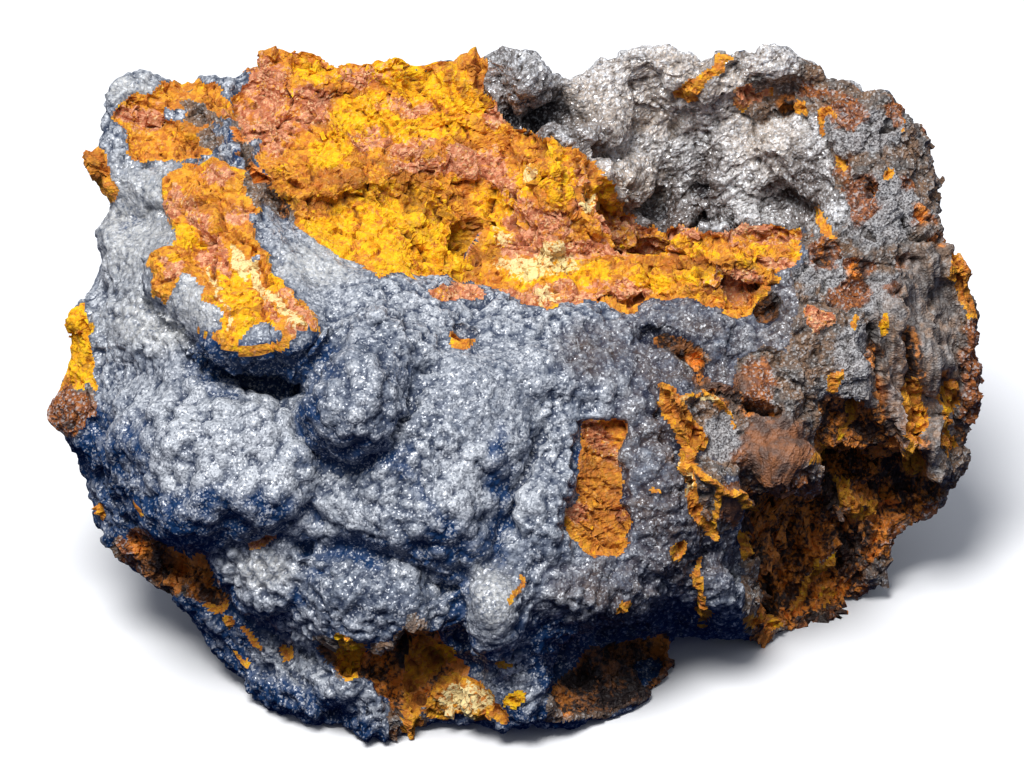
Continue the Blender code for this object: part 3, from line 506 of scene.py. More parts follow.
# A ridge has half its width, its height and the path of its sharp crest.
RIDGES = {
    "blade_broad": (1.4, 1.8, [(550, 143), (557, 198)]),
    "blade_edge": (0.6, 1.4, [(578, 150), (588, 202)]),
    "blade_long": (0.9, 1.4, [(511, 132), (545, 200)]),
    "blade_thin": (0.6, 1.1, [(529, 144), (560, 206)]),
    "blade_right": (0.9, 1.4, [(596, 163), (614, 208)]),
    "blade_low": (0.7, 1.2, [(570, 205), (600, 232)]),
    "pink_ridge": (1.2, 1.3, [(438, 156), (480, 176), (515, 205), (550, 246)]),
    "pink_ridge_2": (0.8, 0.9, [(486, 166), (520, 190), (540, 222)]),
    "blade_4": (0.8, 1.5, [(438, 168), (425, 213)]),
    "blade_5": (0.7, 1.2, [(420, 164), (405, 206)]),
    "blade_6": (0.6, 1.0, [(453, 180), (441, 206)]),
    "rib_1": (0.4, 0.9, [(451, 68), (456, 96)]),
    "rib_2": (0.4, 0.9, [(463, 64), (468, 97)]),
    "rib_3": (0.45, 1.0, [(476, 66), (484, 102)]),
    "left_ridge_1": (1.0, 0.9, [(262, 120), (290, 150), (330, 165)]),
    "left_ridge_2": (0.9, 0.9, [(300, 95), (330, 120), (356, 140)]),
    "left_ridge_3": (1.0, 1.0, [(275, 160), (310, 190), (352, 196)]),
    "left_ridge_4": (0.8, 0.8, [(340, 60), (352, 92), (384, 112)]),
    "top_ridge": (0.8, 0.8, [(390, 62), (404, 100), (450, 122), (498, 124)]),
    "low_ridge_1": (0.8, 0.8, [(330, 215), (372, 240), (425, 262)]),
    "low_ridge_2": (0.8, 0.7, [(372, 205), (400, 232), (440, 250)]),
    "right_ridge_1": (0.9, 0.9, [(620, 232), (664, 240), (706, 232), (770, 228)]),
    "right_ridge_2": (0.9, 0.8, [(600, 270), (660, 276), (720, 262), (785, 250)]),
    "right_ridge_3": (0.7, 0.7, [(570, 285), (620, 292), (690, 290)]),
    "sliver_1": (0.5, 1.5, [(663, 384), (672, 402), (690, 425), (704, 440)]),
    "sliver_2": (0.4, 1.3, [(684, 400), (676, 420), (690, 452), (683, 470)]),
    "sliver_3": (0.5, 1.6, [(700, 440), (690, 456), (706, 478), (730, 492), (755, 508)]),
    "sliver_4": (0.4, 1.3, [(690, 456), (694, 490), (700, 520), (712, 540)]),
    "sliver_5": (0.4, 1.2, [(718, 486), (716, 512), (712, 535)]),
    "thread": (0.3, 0.7, [(682, 396), (700, 390), (716, 402), (735, 426)]),
    "column_pale": (0.6, 1.4, [(868, 300), (881, 352), (893, 400), (904, 450), (908, 466)]),
    "column_left": (0.8, 0.9, [(895, 250), (899, 322), (903, 385)]),
    "column_yellow": (0.9, 0.6, [(915, 385), (914, 468)]),
    "column_grey": (1.2, 1.3, [(925, 250), (932, 311), (936, 400), (936, 467)]),
    "column_right": (0.8, 0.9, [(945, 250), (953, 330), (962, 400)]),
    "column_outer": (0.8, 0.8, [(958, 250), (970, 330), (974, 420)]),
    "column_foot": (0.8, 1.4, [(836, 462), (880, 458), (910, 474), (940, 470)]),
    "boss_1": (0.5, 1.5, [(822, 480), (830, 500), (842, 522)]),
    "boss_2": (0.5, 1.5, [(834, 476), (842, 498), (852, 520)]),
    "boss_3": (0.5, 1.3, [(846, 478), (854, 500), (862, 516)]),
    "recess_1": (0.8, 1.4, [(792, 610), (812, 580), (836, 552)]),
    "recess_2": (0.6, 1.2, [(815, 615), (838, 585), (868, 560)]),
    "recess_3": (0.7, 1.3, [(762, 610), (770, 570), (790, 535)]),
    "recess_4": (0.7, 1.2, [(780, 530), (808, 505), (815, 480)]),
    "recess_5": (0.6, 1.2, [(862, 500), (890, 505), (925, 500)]),
    "overhang_lip": (0.6, 1.2, [
        (313, 630), (335, 641), (365, 646), (385, 641), (405, 622), (430, 616), (446, 640), (462, 654),
    ]),
    "bottom_column_1": (0.6, 1.4, [(368, 700), (370, 738)]),
    "bottom_column_2": (0.5, 1.2, [(381, 698), (383, 738)]),
    "bottom_column_3": (0.4, 1.2, [(395, 697), (394, 736)]),
    "bottom_column_4": (0.7, 1.4, [(410, 690), (410, 738)]),
    "bottom_slab": (1.0, 1.0, [(428, 682), (462, 690), (505, 720)]),
    "pit_wall": (0.4, 0.9, [(135, 530), (152, 552), (150, 580)]),
    "pit_wall_2": (0.4, 0.9, [(172, 548), (190, 570), (186, 590)]),
    "pit_wall_3": (0.4, 0.9, [(160, 590), (182, 584), (202, 596)]),
}
PITS = {
    "ochre_pit": ((472, 240), (16, 26), 1.8),
    "crust_pit": ((465, 333), (11, 11), 1.5),
    "crust_gash": ((424, 372), (9, 6), 1.2),
    "black_recess": ((768, 312), (13, 17), 2.4),
    "pit_1": ((824, 254), (14, 16), 1.4),
    "pit_2": ((860, 268), (16, 9), 1.2),
    "pit_3": ((848, 294), (20, 12), 1.0),
    "pit_region": ((862, 185), (18, 26), 1.3),
    "right_hole": ((874, 184), (8, 5), 2.4),
    "right_pit_1": ((925, 217), (15, 8), 1.6),
    "right_pit_2": ((894, 292), (9, 10), 1.4),
    "right_pit_3": ((910, 184), (8, 9), 1.0),
    "right_pit_4": ((842, 162), (8, 7), 1.0),
    "right_pit_5": ((910, 262), (14, 8), 1.2),
    "right_pit_6": ((848, 112), (12, 8), 1.0),
    "right_pit_7": ((890, 130), (10, 7), 1.0),
    "right_pit_8": ((788, 108), (8, 7), 1.6),
    "right_pit_9": ((868, 234), (9, 6), 1.0),
    "druse_pit_1": ((702, 188), (11, 8), 2.2),
    "druse_pit_2": ((698, 222), (9, 10), 2.4),
    "druse_pit_3": ((686, 112), (12, 6), 1.5),
    "druse_pit_4": ((785, 200), (10, 8), 0.6),
    "druse_pit_5": ((770, 140), (22, 8), 1.2),
    "knob_shadow": ((545, 118), (22, 14), 2.6),
    "knob_foot": ((512, 112), (12, 14), 2.0),
    "boss_shadow": ((655, 200), (10, 24), 1.6),
    "slab_shadow": ((282, 388), (18, 9), 2.4),
    "belly_pit": ((298, 546), (14, 8), 2.0),
    "lower_pit": ((170, 572), (15, 11), 2.4),
    "under_plate": ((755, 408), (12, 8), 2.4),
    "bottom_dark": ((330, 655), (12, 14), 2.2),
    "bottom_slot": ((384, 665), (12, 16), 1.6),
    "bottom_hole_1": ((406, 652), (8, 16), 2.2),
    "bottom_hole_2": ((438, 668), (12, 7), 1.8),
    "bottom_hole_3": ((364, 662), (8, 10), 2.0),
    "ridge_hole_1": ((668, 266), (12, 5), 1.2),
    "ridge_hole_2": ((706, 268), (14, 6), 1.2),
    "ridge_hole_3": ((730, 288), (18, 6), 1.2),
}
# A lump also has a sag: how much more it stands out at its foot than at its top.
LUMPS = {
    "belly": ((205, 458), (122, 92), 2.0, 0.9),
    "belly_1": ((150, 420), (44, 38), 0.8, 0.6),
    "belly_2": ((246, 424), (42, 34), 0.9, 0.7),
    "belly_3": ((190, 498), (50, 32), 0.9, 0.7),
    "belly_4": ((272, 494), (38, 34), 0.9, 0.7),
    "belly_5": ((118, 440), (24, 34), 0.6, 0.6),
    "round_lump": ((356, 412), (58, 52), 0.7, 0.9),
    "lump_neck": ((374, 350), (66, 36), 2.0, 0.0),
    "lump_left": ((316, 396), (26, 34), 0.8, 0.3),
    "plate_foot": ((784, 464), (34, 22), 2.0, 0.0),
    "middle_mass": ((402, 504), (88, 44), 1.5, 0.9),
    "low_mass": ((372, 602), (80, 44), 1.6, 1.3),
    "low_left_mass": ((258, 578), (46, 38), 1.3, 1.5),
    "swelling": ((495, 396), (76, 78), 1.2, 0.5),
    "brow": ((575, 368), (64, 38), 0.9, 0.5),
    "left_of_window": ((540, 500), (28, 62), 1.1, 0.3),
    "bright_lump": ((494, 604), (34, 50), 1.6, 1.4),
    "below_window": ((606, 588), (62, 28), 1.2, 0.9),
    "right_of_window": ((652, 510), (30, 64), 0.8, 0.4),
    "corner_low": ((728, 586), (32, 46), 1.2, 1.4),
    "bottom_left": ((300, 680), (64, 34), 1.0, 1.4),
    "foot_lip": ((516, 688), (42, 40), 1.0, 1.2),
    "left_face": ((130, 318), (44, 44), 0.7, 0.6),
    "tongue_knob": ((384, 322), (18, 13), 0.8, 0.4),
    "hollow_knob": ((515, 80), (30, 34), 1.3, 0.4),
    "hollow_lump": ((598, 134), (28, 14), 1.6, 0.6),
    "hollow_boss": ((624, 178), (36, 30), 1.6, 0.6),
    "crust_lump": ((240, 154), (18, 8), 0.8, 0.3),
    "boss_fibres": ((842, 500), (22, 28), 2.4, 0.5),
    "orange_boss": ((872, 502), (14, 12), 1.6, 0.5),
}

wander = drift(places, 2.2 * MM, 21, 2)
bend = wander * BROAD_WANDER + drift(places, 0.8 * MM, 23, 2) * FINE_WANDER
bent = pixels + bend
seen = ramp(facing, *FACE_FADE)
lift = np.zeros(len(places))
for height, softness, outline in STEPS.values():
    near = near_outline(bent, outline)
    lift[near] += height * ramp(depth_inside(bent[near], outline), -softness, softness)
for half_width, depth, path in SEAMS.values():
    near = near_outline(bent, path, SEAM_MARGIN)
    lift[near] -= depth * np.exp(-(path_gap(bent[near], path) / half_width) ** 2)
for half_width, height, path in RIDGES.values():
    near = near_outline(bent, path)
    lift[near] += height * np.clip(1 - path_gap(bent[near], path) / half_width, 0, 1) ** RIDGE_SHAPE
for middle, half, depth in PITS.values():
    lift -= depth * np.clip(1 - (((bent - middle) / half) ** 2).sum(axis=1), 0, 1) ** PIT_SHAPE
for middle, half, height, sag in LUMPS.values():
    offset = (bent - middle) / half
    rise = np.clip(1 - (offset ** 2).sum(axis=1), 0, 1) ** LUMP_SHAPE
    lift += height * rise * (1 + sag * offset[:, 1])
lift += waves(places, FACE_WAVES)
places += normals * (lift * seen * MM)[:, None]
places += normals * (waves(places, BACK_WAVES) * (1 - seen) * MM)[:, None]
places = eased(places, faces, RELIEF_EASE)
places[:, 2] = np.maximum(places[:, 2], 0.0)
normals = normals_of(places, faces)
bent = in_view(places) + bend

# Where each mineral shows. A later patch lies over an earlier one.
MINERALS = ("crust", "druse", "ochre", "goethite")
CRUST, DRUSE, OCHRE, GOETHITE = range(len(MINERALS))
TIE_BREAK = (0.0, 0.1, 0.2, 0.3)
# The relief of a mineral starts a little way inside its edge: how much of what lies round a place has to be
# of that mineral, how often the answer is eased, and the share of it at which the relief starts.
ALL_ROUND = 0.999
EDGE_EASE = 3
EDGE_SHARE = 0.4
# A streak is whole out to the second of these half widths, and gone at the first.
STREAK_FADE = (1.4, 0.7)
# How soft the edges of the blotches on the hidden sides are.
BLOTCH_EDGE = 0.2
# Chips lie only on places that are this much inside their mineral.
WELL_INSIDE = 0.9
# The best face's outlines hold where the skin faces the best face by this much or more, with some wander.
LEAST_FACING = -0.12
# Rays for the sky that each place sees: how many, from one place in how many, how far above the skin in
# metres they start, how much they lean towards straight up, and how often the answer is eased.
SKY_RAYS = 24
SKY_EVERY = 14
SKY_START = 1.2 * MM
SKY_LEAN = (0, 0, 1.15)
SKY_EASE = 10
PATCHES = {
    "hollow": (DRUSE, [
        (484, 93), (480, 60), (500, 40), (530, 45), (560, 72), (600, 66), (630, 40), (700, 46), (740, 50),
        (770, 34), (800, 55), (800, 72), (745, 78), (735, 110), (760, 122), (800, 112), (822, 118),
        (830, 150), (836, 185), (852, 205), (842, 228), (815, 236), (800, 225), (770, 222), (700, 236),
        (640, 228), (560, 160), (500, 130),
    ]),
    "right_side": (GOETHITE, [
        (822, 118), (800, 112), (760, 122), (735, 110), (745, 78), (800, 72), (800, 50), (860, 75),
        (905, 80), (950, 140), (960, 235), (1000, 300), (1010, 440), (990, 520), (940, 570), (900, 620),
        (860, 660), (750, 660), (742, 590), (742, 530), (756, 508), (735, 480), (722, 470),
        (700, 440), (684, 395), (700, 372), (735, 385), (742, 360), (765, 350), (790, 350), (800, 300),
        (790, 280), (805, 262), (800, 230), (815, 236), (842, 228), (852, 205), (836, 185), (830, 150),
    ]),
    "lower_pits": (GOETHITE, [
        (118, 530), (130, 548), (127, 535), (140, 526), (152, 530), (165, 545), (185, 555), (203, 558),
        (222, 585), (230, 606), (215, 609), (205, 607), (195, 592), (182, 592), (165, 603), (150, 592),
        (138, 575), (118, 555),
    ]),
    "bottom_gap": (GOETHITE, [
        (313, 632), (335, 643), (365, 648), (385, 643), (403, 625), (410, 615), (430, 620), (445, 645),
        (460, 655), (470, 672), (425, 690), (425, 715), (420, 745), (395, 745), (388, 700), (376, 690),
        (362, 676), (338, 676), (322, 650),
    ]),
    "foot_recess": (GOETHITE, [
        (545, 722), (552, 690), (575, 666), (590, 650), (620, 642), (665, 636), (675, 646), (662, 690),
        (600, 718),
    ]),
    "under_ledge": (GOETHITE, [
        (650, 334), (668, 332), (690, 344), (712, 362), (704, 374), (690, 372), (668, 350), (652, 342),
    ]),
    "black_recess": (GOETHITE, [
        (756, 300), (766, 290), (778, 292), (783, 304), (776, 320), (765, 328), (756, 322),
    ]),
    "right_flake": (GOETHITE, [(690, 395), (706, 392), (716, 408), (722, 430), (706, 432), (694, 414)]),
    "ochre_break": (OCHRE, [
        (247, 85), (253, 50), (300, 36), (345, 40), (378, 56), (382, 40), (402, 40), (415, 55), (440, 52),
        (455, 46), (484, 58), (486, 92), (495, 103), (502, 122), (522, 128), (543, 138), (556, 138),
        (560, 150), (580, 147), (585, 162), (600, 168), (610, 185), (622, 192), (621, 208), (640, 225),
        (660, 233), (672, 226), (685, 227), (700, 234), (722, 232), (745, 226), (770, 221), (798, 225),
        (800, 240), (797, 262), (780, 272), (775, 285), (760, 300), (748, 315), (735, 316), (715, 308),
        (700, 302), (680, 298), (655, 300), (645, 306), (635, 314), (615, 312), (600, 307), (585, 300),
        (565, 303), (550, 308), (530, 305), (510, 298), (500, 290), (480, 283), (470, 278), (450, 276),
        (420, 276), (400, 272), (387, 275), (365, 270), (345, 260), (325, 247), (312, 238), (300, 225),
        (292, 212), (285, 200), (268, 175), (256, 160), (262, 142), (238, 140), (233, 125), (233, 105),
    ]),
    "left_block": (OCHRE, [
        (111, 112), (122, 103), (135, 97), (150, 92), (160, 86), (172, 80), (185, 78), (192, 82),
        (205, 85), (218, 88), (222, 93), (230, 100), (232, 116), (218, 122), (205, 130), (214, 145),
        (216, 155), (200, 158), (185, 160), (165, 158), (150, 160), (140, 163), (130, 158), (127, 145),
        (125, 132), (115, 125),
    ]),
    "left_wedge": (OCHRE, [
        (70, 148), (85, 148), (98, 147), (105, 150), (107, 162), (113, 172), (115, 188), (112, 202),
        (104, 200), (88, 180), (74, 162),
    ]),
    "left_yellow": (OCHRE, [
        (55, 330), (70, 308), (82, 302), (86, 315), (91, 330), (94, 350), (95, 362), (90, 372), (94, 390),
        (80, 388), (62, 394), (40, 400), (50, 378), (66, 362), (70, 350),
    ]),
    "brown_block": (GOETHITE, [
        (40, 400), (60, 391), (75, 388), (92, 391), (97, 400), (96, 415), (85, 422), (72, 436), (40, 425),
    ]),
    "slab": (OCHRE, [
        (160, 195), (163, 178), (175, 170), (200, 163), (215, 162), (228, 165), (240, 172), (248, 185),
        (255, 197), (262, 207), (250, 218), (252, 232), (262, 248), (272, 265), (285, 285), (300, 300),
        (310, 310), (318, 325), (322, 333), (300, 331), (288, 343), (290, 350), (275, 355), (255, 355),
        (235, 353), (220, 348), (218, 340), (205, 335), (190, 325), (170, 303), (160, 300), (150, 292),
        (152, 280), (146, 265), (148, 257), (165, 248), (175, 240), (178, 230), (170, 222), (165, 210),
    ]),
    "slab_tongue": (CRUST, [
        (183, 267), (192, 275), (200, 283), (207, 300), (217, 305), (220, 325), (218, 332), (205, 333),
        (190, 325), (180, 315), (170, 303), (172, 290), (178, 282),
    ]),
    "slab_strip": (CRUST, [
        (234, 338), (246, 329), (262, 320), (274, 326), (284, 331), (285, 344), (262, 348), (238, 351),
    ]),
    "slab_spots": (CRUST, [(245, 255), (255, 252), (258, 260), (250, 263)]),
    "slab_wedge": (GOETHITE, [
        (243, 172), (255, 178), (272, 192), (284, 208), (275, 212), (262, 205), (250, 195), (244, 183),
    ]),
    "block_dark": (GOETHITE, [
        (176, 100), (190, 96), (205, 104), (216, 112), (222, 124), (206, 124), (190, 116), (180, 108),
    ]),
    "block_dark_2": (GOETHITE, [(196, 132), (210, 128), (222, 138), (216, 152), (204, 148)]),
    "block_spot": (CRUST, [(160, 108), (172, 110), (190, 116), (186, 122), (172, 120), (163, 116)]),
    "crust_lens": (OCHRE, [
        (428, 290), (440, 285), (455, 284), (470, 287), (485, 294), (470, 297), (452, 299), (437, 296),
    ]),
    "crust_pit_lip": (OCHRE, [
        (451, 328), (455, 333), (464, 338), (476, 338), (472, 346), (455, 346), (449, 338),
    ]),
    "window": (OCHRE, [
        (583, 419), (600, 417), (627, 424), (625, 445), (622, 460), (620, 480), (622, 505), (628, 520),
        (626, 545), (612, 557), (595, 558), (578, 553), (570, 540), (563, 522), (567, 508), (580, 503),
        (576, 490), (580, 465), (580, 445),
    ]),
    "small_slit": (OCHRE, [(645, 483), (655, 487), (662, 492), (655, 494), (647, 488)]),
    "small_round": (OCHRE, [(614, 606), (620, 599), (629, 602), (630, 611), (620, 614)]),
    "lower_lens": (OCHRE, [(247, 548), (255, 540), (268, 535), (280, 536), (272, 544), (258, 549)]),
    "corner_sliver": (OCHRE, [
        (663, 382), (669, 383), (676, 395), (684, 404), (692, 414), (701, 425), (707, 434), (705, 441),
        (699, 439), (697, 455), (690, 459), (682, 445), (672, 432), (662, 418), (657, 405),
    ]),
    "corner_branch": (GOETHITE, [
        (682, 455), (690, 459), (698, 456), (705, 449), (712, 462), (722, 474), (730, 482), (742, 490),
        (754, 500), (756, 510), (748, 524), (732, 530), (720, 534), (704, 524), (692, 505), (685, 480),
    ]),
    "corner_thread": (OCHRE, [
        (682, 396), (692, 391), (704, 396), (714, 399), (721, 411), (730, 416), (735, 426), (727, 419),
        (716, 412), (709, 401), (693, 396),
    ]),
    "corner_strip": (OCHRE, [
        (695, 560), (702, 558), (704, 590), (709, 610), (706, 628), (696, 626), (698, 600),
    ]),
    "corner_spots": (OCHRE, [(672, 545), (682, 538), (686, 548), (680, 566), (674, 560)]),
    "corner_drop": (OCHRE, [(740, 530), (745, 528), (750, 545), (746, 562), (740, 550)]),
    "upper_lens": (GOETHITE, [
        (741, 358), (750, 362), (760, 376), (768, 392), (771, 407), (762, 411), (752, 398), (744, 384),
    ]),
    "diamond": (OCHRE, [
        (806, 303), (820, 306), (833, 312), (838, 320), (828, 328), (815, 338), (806, 326), (801, 315),
    ]),
    "right_lens": (OCHRE, [
        (815, 207), (823, 214), (833, 226), (841, 239), (832, 237), (821, 228), (816, 218),
    ]),
    "top_patch": (OCHRE, [
        (671, 93), (679, 84), (694, 82), (706, 76), (716, 64), (722, 53), (731, 58), (725, 68), (706, 84),
        (700, 98), (686, 100), (673, 99),
    ]),
    "top_facet": (OCHRE, [
        (735, 88), (750, 82), (757, 88), (758, 96), (770, 91), (775, 96), (760, 104), (748, 106),
        (742, 113), (737, 105),
    ]),
    "top_ribbon": (OCHRE, [(797, 99), (803, 100), (804, 116), (797, 117), (795, 110)]),
    "top_blotch": (OCHRE, [
        (822, 105), (837, 110), (839, 118), (826, 121), (823, 135), (818, 131), (820, 118),
    ]),
    "right_orange": (OCHRE, [
        (948, 262), (958, 252), (970, 266), (978, 300), (984, 325), (968, 322), (960, 308), (952, 290),
        (947, 272),
    ]),
    "right_gold": (OCHRE, [(880, 320), (884, 314), (890, 320), (889, 334), (882, 336), (879, 328)]),
    "right_spot_1": (OCHRE, [(834, 156), (842, 158), (849, 168), (847, 176), (840, 172), (834, 166)]),
    "right_spot_2": (OCHRE, [(880, 169), (893, 170), (892, 177), (882, 178)]),
    "right_spot_3": (OCHRE, [(852, 312), (858, 318), (857, 330), (852, 326)]),
    "right_spot_4": (OCHRE, [(900, 116), (905, 122), (905, 134), (901, 130)]),
    "right_blotch": (OCHRE, [
        (826, 385), (832, 372), (846, 366), (850, 375), (842, 388), (836, 398), (828, 396),
    ]),
    "column_gold": (OCHRE, [
        (900, 386), (914, 382), (920, 396), (925, 416), (924, 436), (922, 462), (919, 472), (906, 470),
        (903, 440), (904, 410),
    ]),
    "column_orange": (OCHRE, [
        (941, 380), (950, 376), (959, 390), (955, 402), (949, 414), (947, 430), (954, 440), (962, 438),
        (952, 446), (946, 462), (940, 440), (941, 415), (938, 395),
    ]),
    "boss_strip": (OCHRE, [
        (836, 476), (842, 490), (850, 512), (860, 522), (868, 518), (858, 500), (850, 484), (846, 474),
    ]),
    "boss_lumps": (OCHRE, [(862, 497), (874, 494), (883, 505), (874, 514), (864, 510)]),
    "recess_flake_1": (OCHRE, [
        (818, 560), (826, 562), (822, 576), (812, 588), (800, 600), (792, 600), (806, 580),
    ]),
    "recess_flake_2": (OCHRE, [(826, 585), (834, 590), (828, 606), (820, 612), (822, 598)]),
    "recess_flake_3": (OCHRE, [(745, 620), (760, 612), (775, 618), (788, 625), (770, 628), (750, 628)]),
    "recess_flake_4": (OCHRE, [(845, 395), (858, 400), (850, 430), (846, 452), (838, 440)]),
    "recess_flake_5": (OCHRE, [(820, 442), (832, 436), (826, 456), (812, 470), (806, 468)]),
    "bottom_slab": (OCHRE, [
        (425, 700), (430, 686), (445, 676), (460, 671), (470, 680), (488, 688), (500, 700), (509, 712),
        (507, 722), (490, 719), (475, 712), (455, 715), (440, 718), (428, 716),
    ]),
    "bottom_strip": (OCHRE, [
        (402, 692), (420, 688), (425, 700), (421, 712), (421, 732), (410, 742), (402, 736), (400, 715),
    ]),
    "bottom_dark_ochre": (OCHRE, [
        (410, 640), (425, 632), (438, 640), (452, 648), (460, 660), (442, 674), (425, 682), (405, 688),
        (403, 665),
    ]),
    "bottom_bright": (OCHRE, [(333, 637), (340, 633), (350, 637), (352, 645), (340, 645)]),
    "bottom_piece": (OCHRE, [
        (336, 644), (352, 640), (364, 646), (366, 660), (358, 674), (345, 680), (336, 670),
    ]),
    "bottom_oval": (OCHRE, [(507, 696), (515, 690), (523, 692), (521, 700), (511, 706), (506, 701)]),
    "bottom_arc": (OCHRE, [(496, 659), (505, 662), (511, 670), (504, 671), (497, 665)]),
    "pit_lip": (OCHRE, [(205, 600), (216, 602), (228, 600), (228, 608), (214, 610), (206, 607)]),
    "low_streak_1": (OCHRE, [(225, 612), (230, 616), (234, 626), (228, 622)]),
    "low_streak_2": (OCHRE, [(242, 626), (250, 628), (258, 640), (264, 650), (254, 646), (245, 638)]),
    "low_streak_3": (OCHRE, [(235, 650), (244, 656), (256, 668), (246, 664)]),
    "low_streak_4": (OCHRE, [(278, 646), (290, 650), (294, 661), (284, 658)]),
    "low_sliver": (OCHRE, [(130, 502), (136, 508), (142, 518), (134, 516)]),
    "low_speck": (OCHRE, [(96, 506), (103, 508), (103, 516), (97, 514)]),
}
# A mineral that shows only as a thin stripe: half its width in millimetres, and its path.
STRIPES = {
    "sliver_1": (OCHRE, 0.5, RIDGES["sliver_1"][-1]),
    "sliver_2": (OCHRE, 0.4, RIDGES["sliver_2"][-1]),
    "sliver_3": (OCHRE, 0.55, RIDGES["sliver_3"][-1]),
    "sliver_4": (OCHRE, 0.6, [(686, 456), (692, 490), (699, 516), (708, 530)]),
    "sliver_5": (OCHRE, 0.4, RIDGES["sliver_5"][-1]),
    "thread": (OCHRE, 0.25, RIDGES["thread"][-1]),
    "column_yellow": (OCHRE, 0.9, [(915, 388), (912, 430), (914, 466)]),
    "column_outer": (OCHRE, 0.5, [(951, 380), (955, 410)]),
    "boss_2": (OCHRE, 0.4, [(834, 478), (842, 498), (852, 520)]),
    "recess_1": (OCHRE, 0.5, [(795, 606), (812, 582), (834, 556)]),
    "recess_5": (OCHRE, 0.6, [(866, 500), (878, 506)]),
    "bottom_column_4": (OCHRE, 0.7, [(410, 692), (410, 736)]),
    "bottom_column_3": (GOETHITE, 0.5, [(395, 697), (394, 736)]),
    "bulge_rust": (OCHRE, 0.22, [(510, 604), (516, 592), (521, 578)]),
    "left_pit": (GOETHITE, 1.2, [(118, 548), (126, 566)]),
    "slab_crack": (GOETHITE, 0.7, SEAMS["slab_crack"][-1]),
}
# Lumps of each mineral on the sides that the best face doesn't show: middle and half sizes in millimetres.
BLOBS = {
    "ochre_behind": (OCHRE, (-22, 30, 46), (17, 12, 9)),
    "ochre_back_low": (OCHRE, (6, 33, 14), (9, 8, 6)),
    "ochre_end": (OCHRE, (-42, 16, 20), (7, 8, 6)),
    "druse_top": (DRUSE, (18, 22, 46), (22, 14, 14)),
    "goethite_end": (GOETHITE, (46, 12, 24), (20, 26, 26)),
    "goethite_under": (GOETHITE, (38, 2, 6), (20, 18, 12)),
    "ochre_cleft": (OCHRE, (14, 9, 38), (9, 5, 6)),
    "ochre_ridge": (OCHRE, (24, 8, 37), (12, 6, 5)),
    "goethite_back": (GOETHITE, (20, 34, 10), (20, 10, 12)),
    "goethite_left": (GOETHITE, (-36, 26, 12), (10, 10, 9)),
}

mineral = np.full(len(places), CRUST)
in_front = facing > 0.1 * wander[:, 0] + LEAST_FACING
blob_places = places / MM + 3.0 * drift(places, 7 * MM, 41) + 1.6 * drift(places, 2.2 * MM, 38)
for kind, middle, half in BLOBS.values():
    inside = (((blob_places - middle) / half) ** 2).sum(axis=1) < 1
    mineral[inside & ~in_front] = kind
for kind, outline in PATCHES.values():
    near = near_outline(bent, outline)
    inside = depth_inside(bent[near], outline) > 0
    mineral[near[inside & in_front[near]]] = kind
for kind, half_width, path in STRIPES.values():
    near = near_outline(bent, path)
    inside = path_gap(bent[near], path) < half_width
    mineral[near[inside & in_front[near]]] = kind
corner_votes = np.stack([(mineral[faces] == kind).sum(axis=1) for kind in range(len(MINERALS))], axis=1)
face_mineral = (corner_votes + TIE_BREAK).argmax(axis=1)
meeting = np.bincount(faces.ravel(), minlength=len(places))


def grit_of(own, column):
    """A chance from -1 to 1 for each of some places."""
    return chance_table[own % CHANCE_COUNT, column]


def own_share(kind):
    """One well inside a mineral, and nought where it meets another, so that the pieces still meet there."""
    own = np.repeat((face_mineral == kind).astype(float), 4)
    whole = (np.bincount(faces.ravel(), own, len(places)) / meeting > ALL_ROUND).astype(float)
    return ramp(blurred(whole, faces, EDGE_EASE), EDGE_SHARE, 1.0) * whole


def raise_relief(kind, relief):
    """Lift the places of one mineral by its relief in millimetres, a function of where they are."""
    share = own_share(kind)
    own = np.flatnonzero(share > 0)
    places[own] += normals[own] * (relief(own) * share[own] * MM)[:, None]
    places[:, 2] = np.maximum(places[:, 2], 0.0)


def hollow_depth(rounds):
    """How far each place lies below its surroundings, in millimetres. It is above nought in a crease."""
    return ((eased(places, faces, rounds) - places) * normals_of(places, faces)).sum(axis=1) / MM


def seen_sky():
    """How much of the studio's lamp and dome reaches each place, from nought to one."""
    chance = np.random.default_rng(8)
    directions = chance.normal(0, 1, (SKY_RAYS, 3))
    directions /= np.linalg.norm(directions, axis=1)[:, None]
    directions = [Vector(way) for way in directions + np.array(SKY_LEAN)]
    points = [vertex.co for vertex in solid.data.vertices]
    tree = BVHTree.FromPolygons(points, [tuple(face.vertices) for face in solid.data.polygons])
    picks = chance.choice(len(places), len(places) // SKY_EVERY, replace=False)
    lookup = KDTree(len(picks))
    open_share = np.zeros(len(picks))
    for number, pick in enumerate(picks):
        start = Vector(places[pick] + normals[pick] * SKY_START)
        lookup.insert(start, number)
        open_share[number] = sum(tree.ray_cast(start, way)[0] is None for way in directions) / SKY_RAYS
    lookup.balance()
    nearest = np.array([lookup.find(place)[1] for place in places])
    return blurred(open_share[nearest], faces, SKY_EASE)


def oval_share(ovals, softness):
    """One inside any of some ovals of the best face, given in pixels."""
    share = np.zeros(len(places))
    for middle, half in ovals:
        spread = np.sqrt((((bent - middle) / half) ** 2).sum(axis=1))
        share = np.maximum(share, ramp(spread, 1 + softness, 1 - softness))
    return share * in_front


def streak_share(streaks):
    """One along any of some paths of the best face."""
    share = np.zeros(len(places))
    for half_width, path in streaks:
        fade = [half_width * times for times in STREAK_FADE]
        share = np.maximum(share, ramp(path_gap(bent, path), *fade))
    return share * in_front


def chance_share(size, seed, least):
    """Blotches of a mineral's colours on the sides that the best face doesn't show."""
    return ramp(waver(places, size * MM, seed), least, least + BLOTCH_EDGE) * ~in_front


